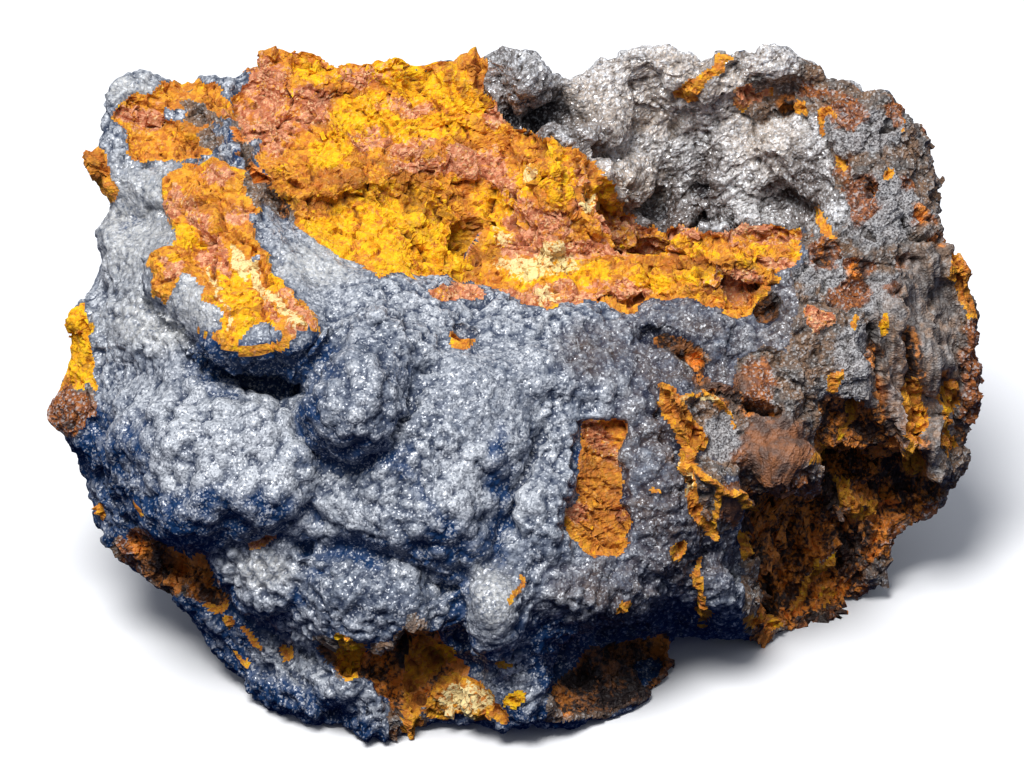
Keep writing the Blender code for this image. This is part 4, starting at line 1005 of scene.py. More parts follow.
def settle(name, points, sides, paint, masks, smooth=False):
    """Put a piece on the rock in place of the plain solid, with its masks."""
    mesh = bpy.data.meshes.new(name)
    mesh.from_pydata(points, [], sides)
    for mask_name, values in masks.items():
        layer = mesh.attributes.new(mask_name, "FLOAT", "POINT")
        layer.data.foreach_set("value", values.astype(np.float32))
    mesh.materials.append(paint)
    mesh.polygons.foreach_set("use_smooth", np.full(len(mesh.polygons), smooth))
    piece = bpy.data.objects.new(name, mesh)
    scene.collection.objects.link(piece)
    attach(piece, "root")
    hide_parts("pyrolusite_specimen")


def cut_piece(name, chosen, paint, masks, smooth=False):
    """Part of the skin as a piece of its own."""
    used, corners = np.unique(faces[chosen], return_inverse=True)
    own_masks = {mask_name: values[used] for mask_name, values in masks.items()}
    settle(name, places[used], corners.reshape(-1, 4), paint, own_masks, smooth)


# The sky that each place sees steers where shade is painted on every mineral.
sky = seen_sky()

# ----------------------------------------------------------------------------------------------------------
# The pyrolusite crust. Manganese oxide grew on the outside of the rock in round buds, each a ball of tiny
# needles that glitter. The glitter is painted as white glints, the bud tops are painted lighter, and creases
# and undersides are painted dark blue as shade.

BIG_BUDS = [
    ((205, 455), (120, 90)), ((356, 405), (60, 60)), ((300, 520), (70, 34)), ((490, 500), (60, 60)),
    ((640, 420), (60, 60)), ((430, 560), (60, 40)), ((600, 600), (60, 30)),
]
SMOOTH_CRUST = [
    ((300, 270), (60, 60)), ((135, 225), (40, 50)), ((490, 385), (60, 50)), ((490, 610), (26, 40)),
    ((195, 300), (30, 36)), ((500, 685), (22, 24)), ((575, 665), (24, 60)), ((260, 330), (30, 16)),
]
STREAKED_CRUST = [((200, 590), (70, 40)), ((140, 520), (50, 40)), ((270, 670), (70, 50))]
# Where the crust is broken and pitted, without buds.
BROKEN_CRUST = [
    ((262, 366), (66, 18)), ((160, 330), (22, 28)), ((690, 352), (60, 46)), ((706, 470), (34, 80)),
    ((690, 580), (60, 50)), ((600, 600), (40, 30)), ((560, 650), (34, 40)), ((500, 680), (40, 30)),
    ((120, 500), (24, 30)), ((300, 650), (50, 20)), ((215, 352), (24, 24)), ((318, 352), (20, 20)),
]
# Where the crust is duller than on the belly, where pale dust lies on it, and where brown earth is in it.
DIM_CRUST = [
    ((356, 400), (70, 70)), ((420, 580), (140, 60)), ((660, 470), (90, 180)), ((608, 588), (50, 30)),
]
DUSTY_CRUST = [
    ((160, 210), (30, 50)), ((197, 300), (24, 32)), ((494, 600), (24, 34)), ((262, 572), (30, 18)),
    ((126, 228), (34, 60)), ((150, 320), (50, 30)), ((322, 262), (44, 22)), ((130, 90), (30, 14)),
]
BROWN_CRUST = [
    ((690, 350), (70, 50)), ((655, 470), (40, 110)), ((690, 548), (56, 44)), ((700, 450), (40, 60)),
    ((600, 350), (40, 30)), ((870, 130), (70, 50)), ((800, 330), (60, 60)), ((608, 592), (60, 34)),
]
# Where the crust is painted dark blue as shade under its own overhangs.
PAINTED_SHADE_CRUST = [
    ((266, 364), (66, 20)), ((216, 352), (24, 24)), ((240, 380), (40, 14)), ((318, 350), (16, 14)),
    ((355, 454), (52, 14)), ((210, 516), (100, 26)), ((128, 470), (20, 50)), ((318, 576), (14, 7)),
    ((300, 598), (16, 8)), ((395, 550), (80, 9)), ((446, 548), (40, 22)), ((462, 590), (10, 30)),
    ((150, 536), (50, 22)), ((160, 600), (16, 60)), ((240, 690), (16, 60)), ((320, 728), (50, 12)),
    ((225, 620), (40, 8)), ((545, 722), (34, 16)), ((605, 622), (34, 10)), ((660, 624), (40, 10)),
    ((738, 628), (30, 8)), ((500, 470), (12, 40)), ((95, 430), (16, 24)), ((440, 650), (30, 10)),
    ((310, 420), (12, 30)), ((545, 650), (20, 40)),
]
PAINTED_SHADE_STREAKS = [
    (2.6, [(176, 604), (222, 656), (280, 706), (350, 738)]), (1.2, [(88, 440), (112, 500), (150, 522)]),
    (0.8, [(150, 520), (200, 552), (232, 606)]), (0.7, [(470, 640), (520, 716), (560, 722)]),
    (0.9, [(548, 640), (600, 620), (660, 616), (690, 626)]), (0.6, [(400, 470), (440, 520), (470, 560)]),
]
# Where less shade is painted on the crust, though its form turns away or lies under an edge.
LESS_SHADE_CRUST = [
    ((492, 606), (32, 40)), ((498, 682), (26, 24)), ((350, 592), (56, 20)), ((266, 580), (40, 22)),
    ((300, 650), (26, 26)), ((200, 560), (20, 14)), ((210, 640), (14, 30)), ((270, 660), (20, 20)),
    ((540, 600), (30, 24)), ((400, 500), (60, 24)), ((420, 600), (30, 24)), ((560, 540), (16, 40)),
    ((735, 575), (24, 40)), ((655, 560), (30, 30)), ((196, 296), (26, 30)), ((670, 598), (80, 14)),
    ((290, 235), (50, 50)), ((380, 290), (60, 30)), ((520, 360), (60, 50)),
]
# Sizes of the crust's relief in metres.
LARGE_BUD = 1.9 * MM
SMALL_BUD = 1.1 * MM
BUD_CLUSTER = 4.4 * MM
CRUST_PLATE = 1.8 * MM
# The middle height of a bud, where one is its top.
MIDDLE_HEIGHT = 0.6
# The crust is cut in three by where it lies, in metres, so that no piece has too many triangles.
LEFT_END = -12 * MM
BACK_START = 8 * MM
big_buds = oval_share(BIG_BUDS, 0.3)
smooth_crust = oval_share(SMOOTH_CRUST, 0.4)
streaked_crust = oval_share(STREAKED_CRUST, 0.4)
broken_crust = oval_share(BROKEN_CRUST, 0.4)
big_buds = np.where(in_front, big_buds, ramp(waver(places, 14 * MM, 51), -0.1, 0.25))


def bud_heights(own):
    """The crust's buds, from nought in the creases to one on top: large ones, with small ones between."""
    here = places[own]
    bent_here = here + 0.22 * MM * drift(here, 1.2 * MM, 52)
    large = buds(bent_here, LARGE_BUD, 55) * (0.25 + 0.75 * big_buds[own])
    small = buds(bent_here, SMALL_BUD, 56) * (0.75 - 0.35 * smooth_crust[own] - 0.3 * big_buds[own])
    return np.maximum(large, small)


def bud_clusters(own):
    """The knots that the buds gather in."""
    here = places[own]
    return buds(here + 0.9 * MM * drift(here, 3.0 * MM, 45), BUD_CLUSTER, 48) - MIDDLE_HEIGHT


crust_buds = np.zeros(len(places))


def crust_relief(own):
    """Buds in clusters, plates where the crust is broken, and streaks that run down to the right."""
    here = places[own]
    crust_buds[own] = bud_heights(own)
    rough = (1 - 0.7 * smooth_crust[own]) * (1 - 0.5 * broken_crust[own])
    plates, plate_seam = chips(here + 0.09 * MM * grit_of(own, 0)[:, None], CRUST_PLATE, 59, 1.2)
    gritty = (0.14 + 0.12 * smooth_crust[own]) * waver(here, 0.7 * MM, 60)
    slide = bent[own] @ np.array([[1, 1], [1, -1]]) * MM / PIXELS_PER_MM / math.sqrt(2)
    along = np.column_stack([slide[:, 0] * 0.12, slide[:, 1] * 1.3, here[:, 1] * 0.3])
    return (
        0.95 * (crust_buds[own] - MIDDLE_HEIGHT) * rough + 0.75 * bud_clusters(own) * rough
        + 0.06 * grit_of(own, 1) + 0.5 * waver(along, 0.9 * MM, 58) * streaked_crust[own] + gritty
        + broken_crust[own] * (0.5 * plates - 0.4 * ramp(plate_seam, 0.12, 0.0))
    )


# The broad form of the rock under its buds decides which parts of the crust turn from the lamp; those are
# painted in shade. For this the sides that the best face doesn't show count as lit from straight above, and
# a little more.
FORM_EASE = 12
HIDDEN_LIGHT = 0.35
form = normals
for _ in range(2):
    form = eased(form, faces, FORM_EASE)
    form /= np.linalg.norm(form, axis=1)[:, None]
raise_relief(CRUST, crust_relief)
crust_creases = hollow_depth(rounds=5)
lamp_way = np.array(LAMP_FROM.normalized())
faces_lamp = np.where(in_front, form @ lamp_way, form @ (lamp_way * (0, 0, 1)) + HIDDEN_LIGHT)
turned_away = ramp(faces_lamp, 0.5, -0.1)
painted_shade_share = np.maximum(oval_share(PAINTED_SHADE_CRUST, 0.5), streak_share(PAINTED_SHADE_STREAKS))
less_shade_share = oval_share(LESS_SHADE_CRUST, 0.5)
# The crust's painted shade: where it sees little sky, where its form turns from the lamp, and in the listed
# places, less in those listed for less.
crust_shade = 0.9 * ramp(sky, 0.55, 0.15) + 0.75 * turned_away + 1.1 * painted_shade_share - 0.7 * less_shade_share


def glittering(name, light, middle, deep, crease, dust, metal, painted_glint_boost):
    """The finish of manganese oxide over a dark ground: glints are painted where the needles would catch the
    light, bud tops are painted lighter, and creases and shaded places are painted dark as shade.
    """
    paint = Paint(bpy.data.materials.new(name))
    shade, bud, creases, dim, brown = map(paint.mask, ("shade", "bud", "crease", "dim", "brown"))
    blotches = paint.cloud(2.6 * MM, 4.0)
    fine = paint.cloud(0.28 * MM, 3.0)
    bead = 1 - paint.grains(0.62 * MM)
    needle = paint.chance(0.2 * MM)
    # Bud tops are painted lighter, as the light falls on them; grains and blotches vary the tone.
    lightness = (bud * 0.75 + bead * 0.3 + blotches * 0.9 - 0.55 - dim * 0.32).ramp(0.0, 0.7)
    # Creases and the low ground between the buds are painted darker as shade.
    furrow = 0.45 + dim * 0.25 - bud * (0.9 + dim * 0.25) + creases * 0.9 + bead.ramp(0.6, 0.35) * 0.25
    # Shaded places are painted in the deep colour, bud tops the least.
    painted_shade_cover = shade * (1.85 - bud * 1.1 - fine * 0.3 - needle * 0.25)
    powder = paint.mask("dust") * (fine * 1.7 + bead * 0.5 + blotches * 0.5 - 0.92)
    # Painted glints: white specks where needles would catch the lamp, more on bud tops, fewer in painted
    # shade.
    painted_glint = (needle + blotches * 0.3 - 0.15 + painted_glint_boost + shade * 0.04).ramp(0.73, 0.8)
    colour = paint.layered(middle, [
        (lightness, light),
        (needle.ramp(0.42, 0.3) * 0.52, crease),
        (furrow.clipped() * (0.55 + fine * 0.8), crease),
        (brown * (blotches * 1.6 + fine - 0.75), pigment(84, 66, 56)),
        (painted_shade_cover, paint.mix(brown * 0.85, deep, pigment(38, 32, 36))),
        (powder, dust),
        (painted_glint * (0.25 + bud * 0.5) * (1 - shade * 0.3 - brown * 0.3), pigment(248, 250, 254)),
    ])
    height = bead * 0.75 + (1 - paint.grains(0.24 * MM)) * 0.25
    return paint.finish(
        Base_Color=colour, Roughness=0.55 - needle.ramp(0.62, 0.78) * 0.3, Metallic=metal,
        Normal=paint.bumps(height, 0.3 * MM, 0.7),
    )


# Deep is the colour of the painted shade; crease that of the dark specks and of the painted crease shade.
crust_finish = glittering(
    "pyrolusite", light=pigment(188, 192, 198), middle=pigment(120, 128, 142), deep=pigment(10, 52, 96),
    crease=pigment(42, 54, 78), dust=pigment(214, 212, 206), metal=0.1, painted_glint_boost=0.0,
)
# Shade and crease steer the crust's painted shade, and bud its painted top light and glints.
crust_masks = {
    "shade": np.clip(crust_shade, 0, 1), "bud": np.minimum(crust_buds + 0.22 * smooth_crust, 1),
    "crease": ramp(crust_creases, 0.0, 0.16), "dim": oval_share(DIM_CRUST, 0.6),
    "brown": oval_share(BROWN_CRUST, 0.5), "dust": oval_share(DUSTY_CRUST, 0.5),
}
face_middle = places[faces].mean(axis=1)
on_left = face_middle[:, 0] < LEFT_END
behind = face_middle[:, 1] >= BACK_START
CRUST_PARTS = {
    "pyrolusite_belly": on_left,
    "pyrolusite_front": ~on_left & ~behind,
    "pyrolusite_back": ~on_left & behind,
}
for name, part in CRUST_PARTS.items():
    chosen = (face_mineral == CRUST) & part
    cut_piece(name, chosen, crust_finish, crust_masks, smooth=True)

# ----------------------------------------------------------------------------------------------------------
# The druse of the hollow. The same oxide lines the open hollow in coarser, greyer knots of crystals, with
# brown blotches. Their creases are painted dark brown and their shaded places nearly black, as shade.

DIM_DRUSE = [
    ((515, 78), (36, 40)), ((560, 110), (50, 34)), ((680, 215), (60, 24)), ((645, 188), (44, 30)),
    ((700, 190), (18, 34)), ((812, 200), (20, 30)),
]
BROWN_DRUSE = [
    ((610, 122), (50, 14)), ((646, 196), (44, 24)), ((512, 92), (24, 16)), ((588, 146), (22, 12)),
    ((708, 176), (14, 26)), ((676, 214), (36, 20)), ((800, 190), (30, 40)), ((540, 110), (40, 26)),
    ((690, 90), (40, 12)),
]
DUSTY_DRUSE = [
    ((700, 70), (100, 26)), ((640, 110), (60, 30)), ((760, 130), (40, 40)), ((590, 90), (30, 20)),
    ((620, 176), (44, 34)),
]
# Sizes of the druse's relief in metres.
DRUSE_KNOT = 5.2 * MM
LARGE_CRYSTAL = 2.2 * MM
SMALL_CRYSTAL = 0.9 * MM
druse_buds = np.zeros(len(places))


def druse_relief(own):
    """Knots of crystals, pitted here and there."""
    here = places[own]
    bent_here = here + 0.6 * MM * drift(here, 2.0 * MM, 61)
    knots = buds(bent_here, DRUSE_KNOT, 68)
    large = buds(bent_here, LARGE_CRYSTAL, 65)
    small = buds(here, SMALL_CRYSTAL, 66)
    druse_buds[own] = 0.35 * knots + 0.3 * large + 0.35 * small
    return (
        1.3 * (knots - MIDDLE_HEIGHT) + 0.5 * (large - MIDDLE_HEIGHT) + 0.42 * (small - MIDDLE_HEIGHT)
        - 0.7 * ramp(waver(here, 3.2 * MM, 64), 0.28, 0.5) + 0.16 * waver(here, 0.6 * MM, 69)
        + 0.1 * grit_of(own, 1)
    )


raise_relief(DRUSE, druse_relief)
druse_creases = hollow_depth(rounds=5)
druse_finish = glittering(
    "druse", light=pigment(222, 220, 219), middle=pigment(154, 151, 151), deep=pigment(22, 18, 18),
    crease=pigment(56, 46, 40), dust=pigment(216, 198, 180), metal=0.25, painted_glint_boost=0.05,
)
# The druse's painted shade comes from the sky each place sees, and its creases are painted dark as well.
druse_masks = {
    "shade": ramp(sky, 0.4, 0.1), "bud": druse_buds, "crease": ramp(druse_creases, 0.0, 0.22),
    "dim": oval_share(DIM_DRUSE, 0.6), "brown": oval_share(BROWN_DRUSE, 0.5),
    "dust": oval_share(DUSTY_DRUSE, 0.6),
}
cut_piece("hollow_druse", face_mineral == DRUSE, druse_finish, druse_masks)

# ----------------------------------------------------------------------------------------------------------
# The ochre. Limonite, an earthy iron oxide, fills the rock under its crust, and shows where it is broken
# open: bright yellow on fresh flakes, pinkish brown on old ones, and rust in its cracks.

YELLOW_OCHRE = [
    ((318, 68), (24, 20)), ((365, 115), (30, 22)), ((395, 70), (27, 24)), ((425, 85), (48, 16)),
    ((462, 102), (32, 13)), ((425, 128), (44, 15)), ((332, 146), (20, 14)), ((326, 162), (18, 8)),
    ((385, 205), (64, 22)), ((350, 235), (48, 24)), ((425, 244), (56, 26)), ((420, 266), (48, 11)),
    ((495, 205), (20, 12)), ((500, 232), (14, 15)), ((528, 178), (14, 22)), ((560, 180), (16, 26)),
    ((550, 148), (12, 9)), ((604, 195), (10, 16)), ((560, 272), (54, 14)), ((676, 240), (14, 6)),
    ((705, 252), (18, 9)), ((752, 256), (18, 12)), ((700, 277), (24, 10)),
    ((650, 282), (24, 8)), ((192, 236), (18, 12)), ((235, 290), (22, 34)), ((245, 325), (26, 20)),
    ((277, 292), (10, 24)), ((170, 264), (16, 9)), ((82, 345), (20, 46)), ((350, 660), (14, 14)),
    ((515, 697), (12, 10)), ((341, 640), (12, 8)), ((448, 650), (12, 8)), ((884, 324), (8, 12)),
]
PINK_OCHRE = [
    ((268, 82), (22, 26)), ((264, 125), (32, 30)), ((308, 106), (24, 20)), ((360, 76), (32, 11)),
    ((402, 106), (34, 9)), ((372, 138), (22, 10)), ((412, 146), (22, 11)), ((432, 166), (42, 10)),
    ((474, 165), (34, 14)), ((502, 182), (15, 18)), ((516, 206), (13, 22)), ((540, 226), (30, 22)),
    ((520, 242), (22, 13)), ((495, 118), (12, 14)), ((578, 185), (8, 26)), ((620, 226), (27, 10)),
    ((600, 250), (44, 10)), ((644, 246), (34, 8)), ((548, 294), (56, 9)), ((622, 291), (34, 9)),
    ((690, 232), (27, 6)), ((740, 228), (32, 8)), ((787, 236), (10, 12)), ((735, 281), (27, 14)),
    ((780, 262), (14, 9)), ((770, 234), (30, 10)), ((210, 250), (12, 18)), ((216, 176), (14, 8)),
    ((170, 211), (9, 12)), ((245, 216), (22, 8)), ((125, 112), (16, 9)), ((150, 122), (16, 12)),
    ((594, 435), (12, 12)), ((614, 456), (9, 8)), ((619, 513), (7, 8)), ((575, 512), (12, 8)),
    ((455, 291), (34, 10)), ((818, 318), (20, 20)), ((264, 542), (18, 8)), ((300, 322), (14, 12)),
    ((750, 95), (20, 14)),
]
CREAM_OCHRE = [
    ((540, 265), (44, 13)), ((527, 170), (6, 15)), ((552, 254), (24, 9)), ((592, 204), (11, 8)),
    ((466, 698), (34, 12)), ((688, 480), (4, 18)), ((711, 466), (6, 10)), ((700, 400), (30, 5)),
    ((502, 236), (8, 10)), ((545, 294), (14, 5)),
]
RUST_OCHRE = [
    ((345, 96), (20, 7)), ((335, 178), (36, 9)), ((325, 204), (34, 7)), ((458, 151), (24, 7)),
    ((416, 190), (13, 28)), ((472, 240), (15, 24)), ((488, 258), (20, 9)), ((562, 240), (14, 9)),
    ((665, 262), (27, 9)), ((742, 292), (27, 7)), ((172, 124), (24, 9)), ((196, 146), (22, 9)),
    ((72, 410), (26, 20)), ((90, 365), (8, 16)), ((200, 205), (34, 7)), ((970, 290), (10, 30)),
    ((598, 490), (30, 90)), ((90, 165), (20, 22)), ((712, 268), (24, 8)), ((672, 262), (20, 6)),
    ((200, 120), (34, 26)), ((680, 415), (12, 34)), ((755, 385), (20, 30)), ((720, 264), (66, 12)),
]
# The ochre splits along its grain, which leans down to the right.
OCHRE_GRAIN = np.array([[0.8, 0.0, 0.3], [0.0, 1.0, 0.0], [0.35, 0.0, 0.75]])
# Cracks and old faces between the blades, and streaks that run down the slab: half a width and a path.
RUST_STREAKS = [
    (0.5, [(366, 160), (384, 166), (400, 172), (408, 190), (404, 212)]),
    (0.35, [(434, 166), (428, 190), (420, 214)]), (0.3, [(436, 213), (446, 201), (456, 196)]),
    (0.45, [(457, 136), (470, 142), (483, 150)]), (0.3, [(584, 152), (580, 176), (573, 206)]),
    (0.25, [(557, 140), (562, 168), (560, 196)]), (0.3, [(512, 134), (528, 168), (540, 196)]),
    (0.25, [(450, 70), (455, 98)]), (0.25, [(462, 66), (468, 98)]), (0.3, [(477, 68), (485, 104)]),
    (0.35, [(308, 108), (318, 124), (322, 140)]), (0.4, [(344, 184), (352, 176), (362, 184)]),
    (0.4, [(284, 203), (320, 205), (350, 200)]), (0.3, [(596, 168), (604, 190), (616, 206)]),
    (0.35, [(640, 236), (664, 244), (690, 240), (712, 246)]), (0.3, [(580, 262), (612, 268), (640, 262)]),
    (0.3, SEAMS["ochre_top"][-1]), (0.3, [(186, 196), (214, 206), (246, 214)]),
    (0.25, [(206, 250), (214, 274), (222, 292)]), (0.3, [(216, 308), (236, 312), (262, 306)]),
    (0.3, [(590, 424), (588, 470), (596, 520), (592, 552)]), (0.3, [(572, 478), (598, 462), (628, 470)]),
    (0.3, [(574, 528), (596, 508), (630, 520)]), (0.25, [(604, 462), (614, 490), (608, 530)]),
    (0.25, [(612, 430), (606, 470), (612, 500)]), (0.3, [(500, 150), (524, 160), (548, 166)]),
]
PINK_STREAKS = [
    (0.9, [(588, 424), (600, 442)]), (0.8, [(609, 452), (622, 460)]), (0.6, [(572, 512), (580, 522)]),
    (0.7, [(176, 190), (196, 214), (212, 240), (226, 264)]), (0.5, [(284, 290), (296, 308), (312, 328)]),
    (0.4, [(250, 262), (262, 292), (276, 318)]), (0.5, [(160, 262), (172, 274), (180, 268)]),
]
CREAM_STREAKS = [
    (0.45, [(232, 246), (238, 258), (243, 270)]), (0.6, [(248, 262), (258, 280), (268, 298)]),
    (0.5, [(276, 296), (288, 312), (300, 326)]), (0.3, [(206, 262), (222, 300), (228, 330)]),
]
# Sizes of the ochre's chips in metres.
LARGE_BLADE = 5.2 * MM
MIDDLE_BLADE = 2.1 * MM
SMALL_BLADE = 0.95 * MM
pink_ochre = np.maximum(oval_share(PINK_OCHRE, 0.3), chance_share(5.0, 101, -0.05))
yellow_ochre = np.maximum(oval_share(YELLOW_OCHRE, 0.3), chance_share(4.0, 102, -0.1))
rust_ochre = np.maximum(oval_share(RUST_OCHRE, 0.35), chance_share(3.0, 103, 0.1))
pink_streak = streak_share(PINK_STREAKS)
cream_streak = streak_share(CREAM_STREAKS)
rust_ochre = np.maximum(rust_ochre, 1.2 * streak_share(RUST_STREAKS))
pink_ochre = np.maximum(pink_ochre, pink_streak) * (1 - cream_streak)
cream_ochre = np.maximum(oval_share(CREAM_OCHRE, 0.45), cream_streak)
yellow_ochre = yellow_ochre * (1 - np.maximum(pink_streak, cream_streak))


def ochre_relief(own):
    """Blades in blades, each tilted its own way, with cracks between them and crumbs on them."""
    here = places[own]
    bent_here = here + 0.22 * MM * drift(here, 1.0 * MM, 71)
    split = bent_here @ OCHRE_GRAIN
    large, large_seam = chips(split, LARGE_BLADE, 74, 1.3)
    middle, middle_seam = chips(split, MIDDLE_BLADE, 75, 1.3)
    small, small_seam = chips(bent_here, SMALL_BLADE, 76, 1.2)
    cracks = ramp(large_seam, 0.08, 0.0) * 0.6 + ramp(middle_seam, 0.09, 0.0) * 0.35
    cracks += ramp(small_seam, 0.12, 0.0) * 0.1
    crumbs = 0.14 * small + 0.16 * waver(here, 0.75 * MM, 77) + 0.05 * grit_of(own, 2)
    return 0.75 * large + 0.42 * middle - cracks + (0.45 + 0.55 * pink_ochre[own]) * crumbs


def earthen():
    """The finish of limonite: yellow and pink, flake by flake, with cream, rust and grit over them, and its
    creases and shaded places painted dark as shade.
    """
    paint = Paint(bpy.data.materials.new("limonite"))
    yellow, pink, cream, rust = map(paint.mask, ("yellow", "pink", "cream", "rust"))
    blotch = paint.cloud(1.5 * MM, 5.0)
    fleck = paint.cloud(0.45 * MM, 4.0)
    crumb = paint.chance(0.45 * MM)
    flake = paint.chance(0.7 * MM) * 0.7 + paint.mask("tone") * 0.5 + 0.15
    some = crumb.ramp(0.3, 0.7)
    fresh = yellow * 0.42 - pink * 0.12 + flake * 0.6 + fleck + blotch * 0.9 - 1.0
    colour = paint.layered(pigment(208, 124, 40), [
        ((blotch * 0.8 + crumb * 0.6 - 0.2).ramp(0.3, 0.7), pigment(240, 168, 40)),
        (
            (pink * 0.42 + flake * 0.6 + fleck - blotch * 0.3 - 0.42).ramp(0.38, 0.62),
            paint.mix(some, pigment(196, 116, 78), pigment(234, 166, 126)),
        ),
        (fresh.ramp(0.42, 0.56), paint.mix(some, pigment(246, 172, 6), pigment(255, 202, 8))),
        ((cream * 1.1 + fleck * 1.8 + crumb * 0.7 - 1.6).ramp(0.35, 0.65) * 0.85, pigment(254, 236, 172)),
        ((rust * 0.7 + fleck * 0.9 + crumb * 0.5 - 0.85).ramp(0.4, 0.7) * 0.7, pigment(164, 90, 30)),
        (paint.cloud(0.16 * MM, 3.0).ramp(0.6, 0.68) * 0.5, pigment(150, 78, 24)),
        (paint.chance(0.22 * MM).ramp(0.74, 0.84) * (0.15 + pink * 0.5), pigment(250, 214, 158)),
        # Painted shade: creases darkened to brown, and places that see little sky darkened further.
        (paint.mask("crease") * (0.5 + fleck * 0.8), pigment(112, 52, 10)),
        (paint.mask("shade") * 1.1, pigment(46, 22, 6)),
    ])
    relief = paint.bumps(paint.cloud(0.35 * MM, 5.0), 0.4 * MM, 0.9)
    return paint.finish(Base_Color=colour, Roughness=0.85, Normal=relief)


raise_relief(OCHRE, ochre_relief)
ochre_creases = hollow_depth(rounds=6)
ochre_finish = earthen()
ochre_masks = {
    "yellow": yellow_ochre, "pink": pink_ochre, "cream": cream_ochre, "rust": rust_ochre,
    "crease": ramp(ochre_creases, 0.05, 0.45), "shade": 0.2 * ramp(sky, 0.2, 0.03),
}
cut_piece("limonite_ochre", face_mineral == OCHRE, ochre_finish, ochre_masks)

# Chips of ochre lie in the break, each a skewed brick of stone with a tone of its own.
BRICK_CORNERS = np.array(list(itertools.product((-1, 1), repeat=3)))
BRICK_SIDES = np.array([(0, 1, 3, 2), (4, 6, 7, 5), (0, 4, 5, 1), (2, 3, 7, 6), (0, 2, 6, 4), (1, 5, 7, 3)])
BRICK_SKEW = 0.3
# Chips are mostly small, differ along each axis, lie nearly flat on the stone, and tilt a little.
CHIP_SIZES = (0.35, 1.0)
CHIP_SMALLNESS = 1.5
CHIP_VARIETY = (0.7, 1.3)
CHIP_FLATNESS = 0.9
CHIP_TILT = 0.3


def skewed_bricks(middles, halves, ways, outs, seed):
    """Corners and sides of bricks, from their middles, half sizes, long ways and the ways they face."""
    chance = np.random.default_rng(seed)
    count = len(middles)
    ways = ways / np.linalg.norm(ways, axis=1)[:, None]
    breadths = np.cross(outs, ways)
    breadths /= np.linalg.norm(breadths, axis=1)[:, None]
    outs = np.cross(ways, breadths)
    corners = BRICK_CORNERS * (1 + BRICK_SKEW * chance.uniform(-1, 1, (count, 8, 3))) * halves[:, None, :]
    corners = np.einsum("nck,nkx->ncx", corners, np.stack([ways, breadths, outs], axis=1))
    corners += middles[:, None, :]
    corners[:, :, 2] = np.maximum(corners[:, :, 2], 0.0)
    return corners.reshape(-1, 3), (BRICK_SIDES + 8 * np.arange(count)[:, None, None]).reshape(-1, 4)


def rubble(name, kind, bare, count, half, way, jitter, sink, paint, masks, seed):
    """Chips strewn at random over a mineral, lying along its grain, and none where it is bare."""
    chance = np.random.default_rng(seed)
    share = own_share(kind) * (1 - bare)
    picks = chance.choice(np.flatnonzero(share > WELL_INSIDE), count)
    size = chance.uniform(*CHIP_SIZES, (count, 1)) ** CHIP_SMALLNESS
    halves = np.array(half) * MM * size * chance.uniform(*CHIP_VARIETY, (count, 3))
    ways = np.array(way) + jitter * chance.normal(0, 1, (count, 3))
    ways -= CHIP_FLATNESS * (ways * normals[picks]).sum(axis=1)[:, None] * normals[picks]
    outs = normals[picks] + CHIP_TILT * chance.normal(0, 1, (count, 3))
    middles = places[picks] - normals[picks] * halves[:, 2:] * sink
    points, sides = skewed_bricks(middles, halves, ways, outs, seed + 1)
    brick_masks = {mask_name: np.repeat(values[picks], 8) for mask_name, values in masks.items()}
    brick_masks["tone"] = np.repeat(chance.uniform(-1, 1, count), 8)
    settle(name, points, sides, paint, brick_masks)


normals = normals_of(places, faces)
# The chips get less painted crease shade.
ochre_masks["crease"] = 0.2 * ochre_masks["crease"]
rubble(
    "ochre_rubble", kind=OCHRE, bare=0.0, count=900, half=(0.7, 0.4, 0.26),
    way=(0.5, 0.0, -0.8), jitter=0.6, sink=0.75, paint=ochre_finish, masks=ochre_masks, seed=91,
)

# ----------------------------------------------------------------------------------------------------------
# The goethite. Brown, fibrous iron oxide holds up the right side of the rock and its recesses, in columns
# and splinters of grey, rust and brown. Its creases and recesses are painted nearly black as shade.

GREY_GOETHITE = [
    ((850, 130), (60, 24)), ((880, 210), (40, 40)), ((820, 270), (30, 24)), ((720, 440), (22, 24)),
    ((930, 340), (30, 60)), ((930, 420), (14, 50)), ((900, 300), (40, 30)), ((860, 350), (30, 30)),
    ((850, 395), (28, 22)),
]
RUST_GOETHITE = [
    ((925, 217), (16, 9)), ((894, 292), (10, 11)), ((909, 184), (9, 9)), ((842, 166), (12, 14)),
    ((845, 112), (22, 16)), ((895, 112), (8, 16)), ((757, 385), (18, 28)), ((906, 262), (14, 8)),
    ((815, 92), (24, 6)), ((70, 412), (30, 24)), ((735, 505), (22, 24)), ((862, 196), (18, 26)),
    ((848, 294), (24, 14)), ((860, 268), (20, 10)), ((824, 252), (18, 20)), ((775, 450), (40, 30)),
    ((905, 400), (20, 60)), ((975, 380), (16, 60)), ((820, 580), (50, 40)), ((850, 450), (24, 50)),
    ((920, 510), (24, 14)), ((150, 550), (36, 24)), ((210, 590), (20, 22)), ((390, 675), (14, 26)),
    ((650, 575), (40, 26)), ((790, 500), (30, 40)), ((885, 540), (20, 24)), ((660, 660), (10, 30)),
]
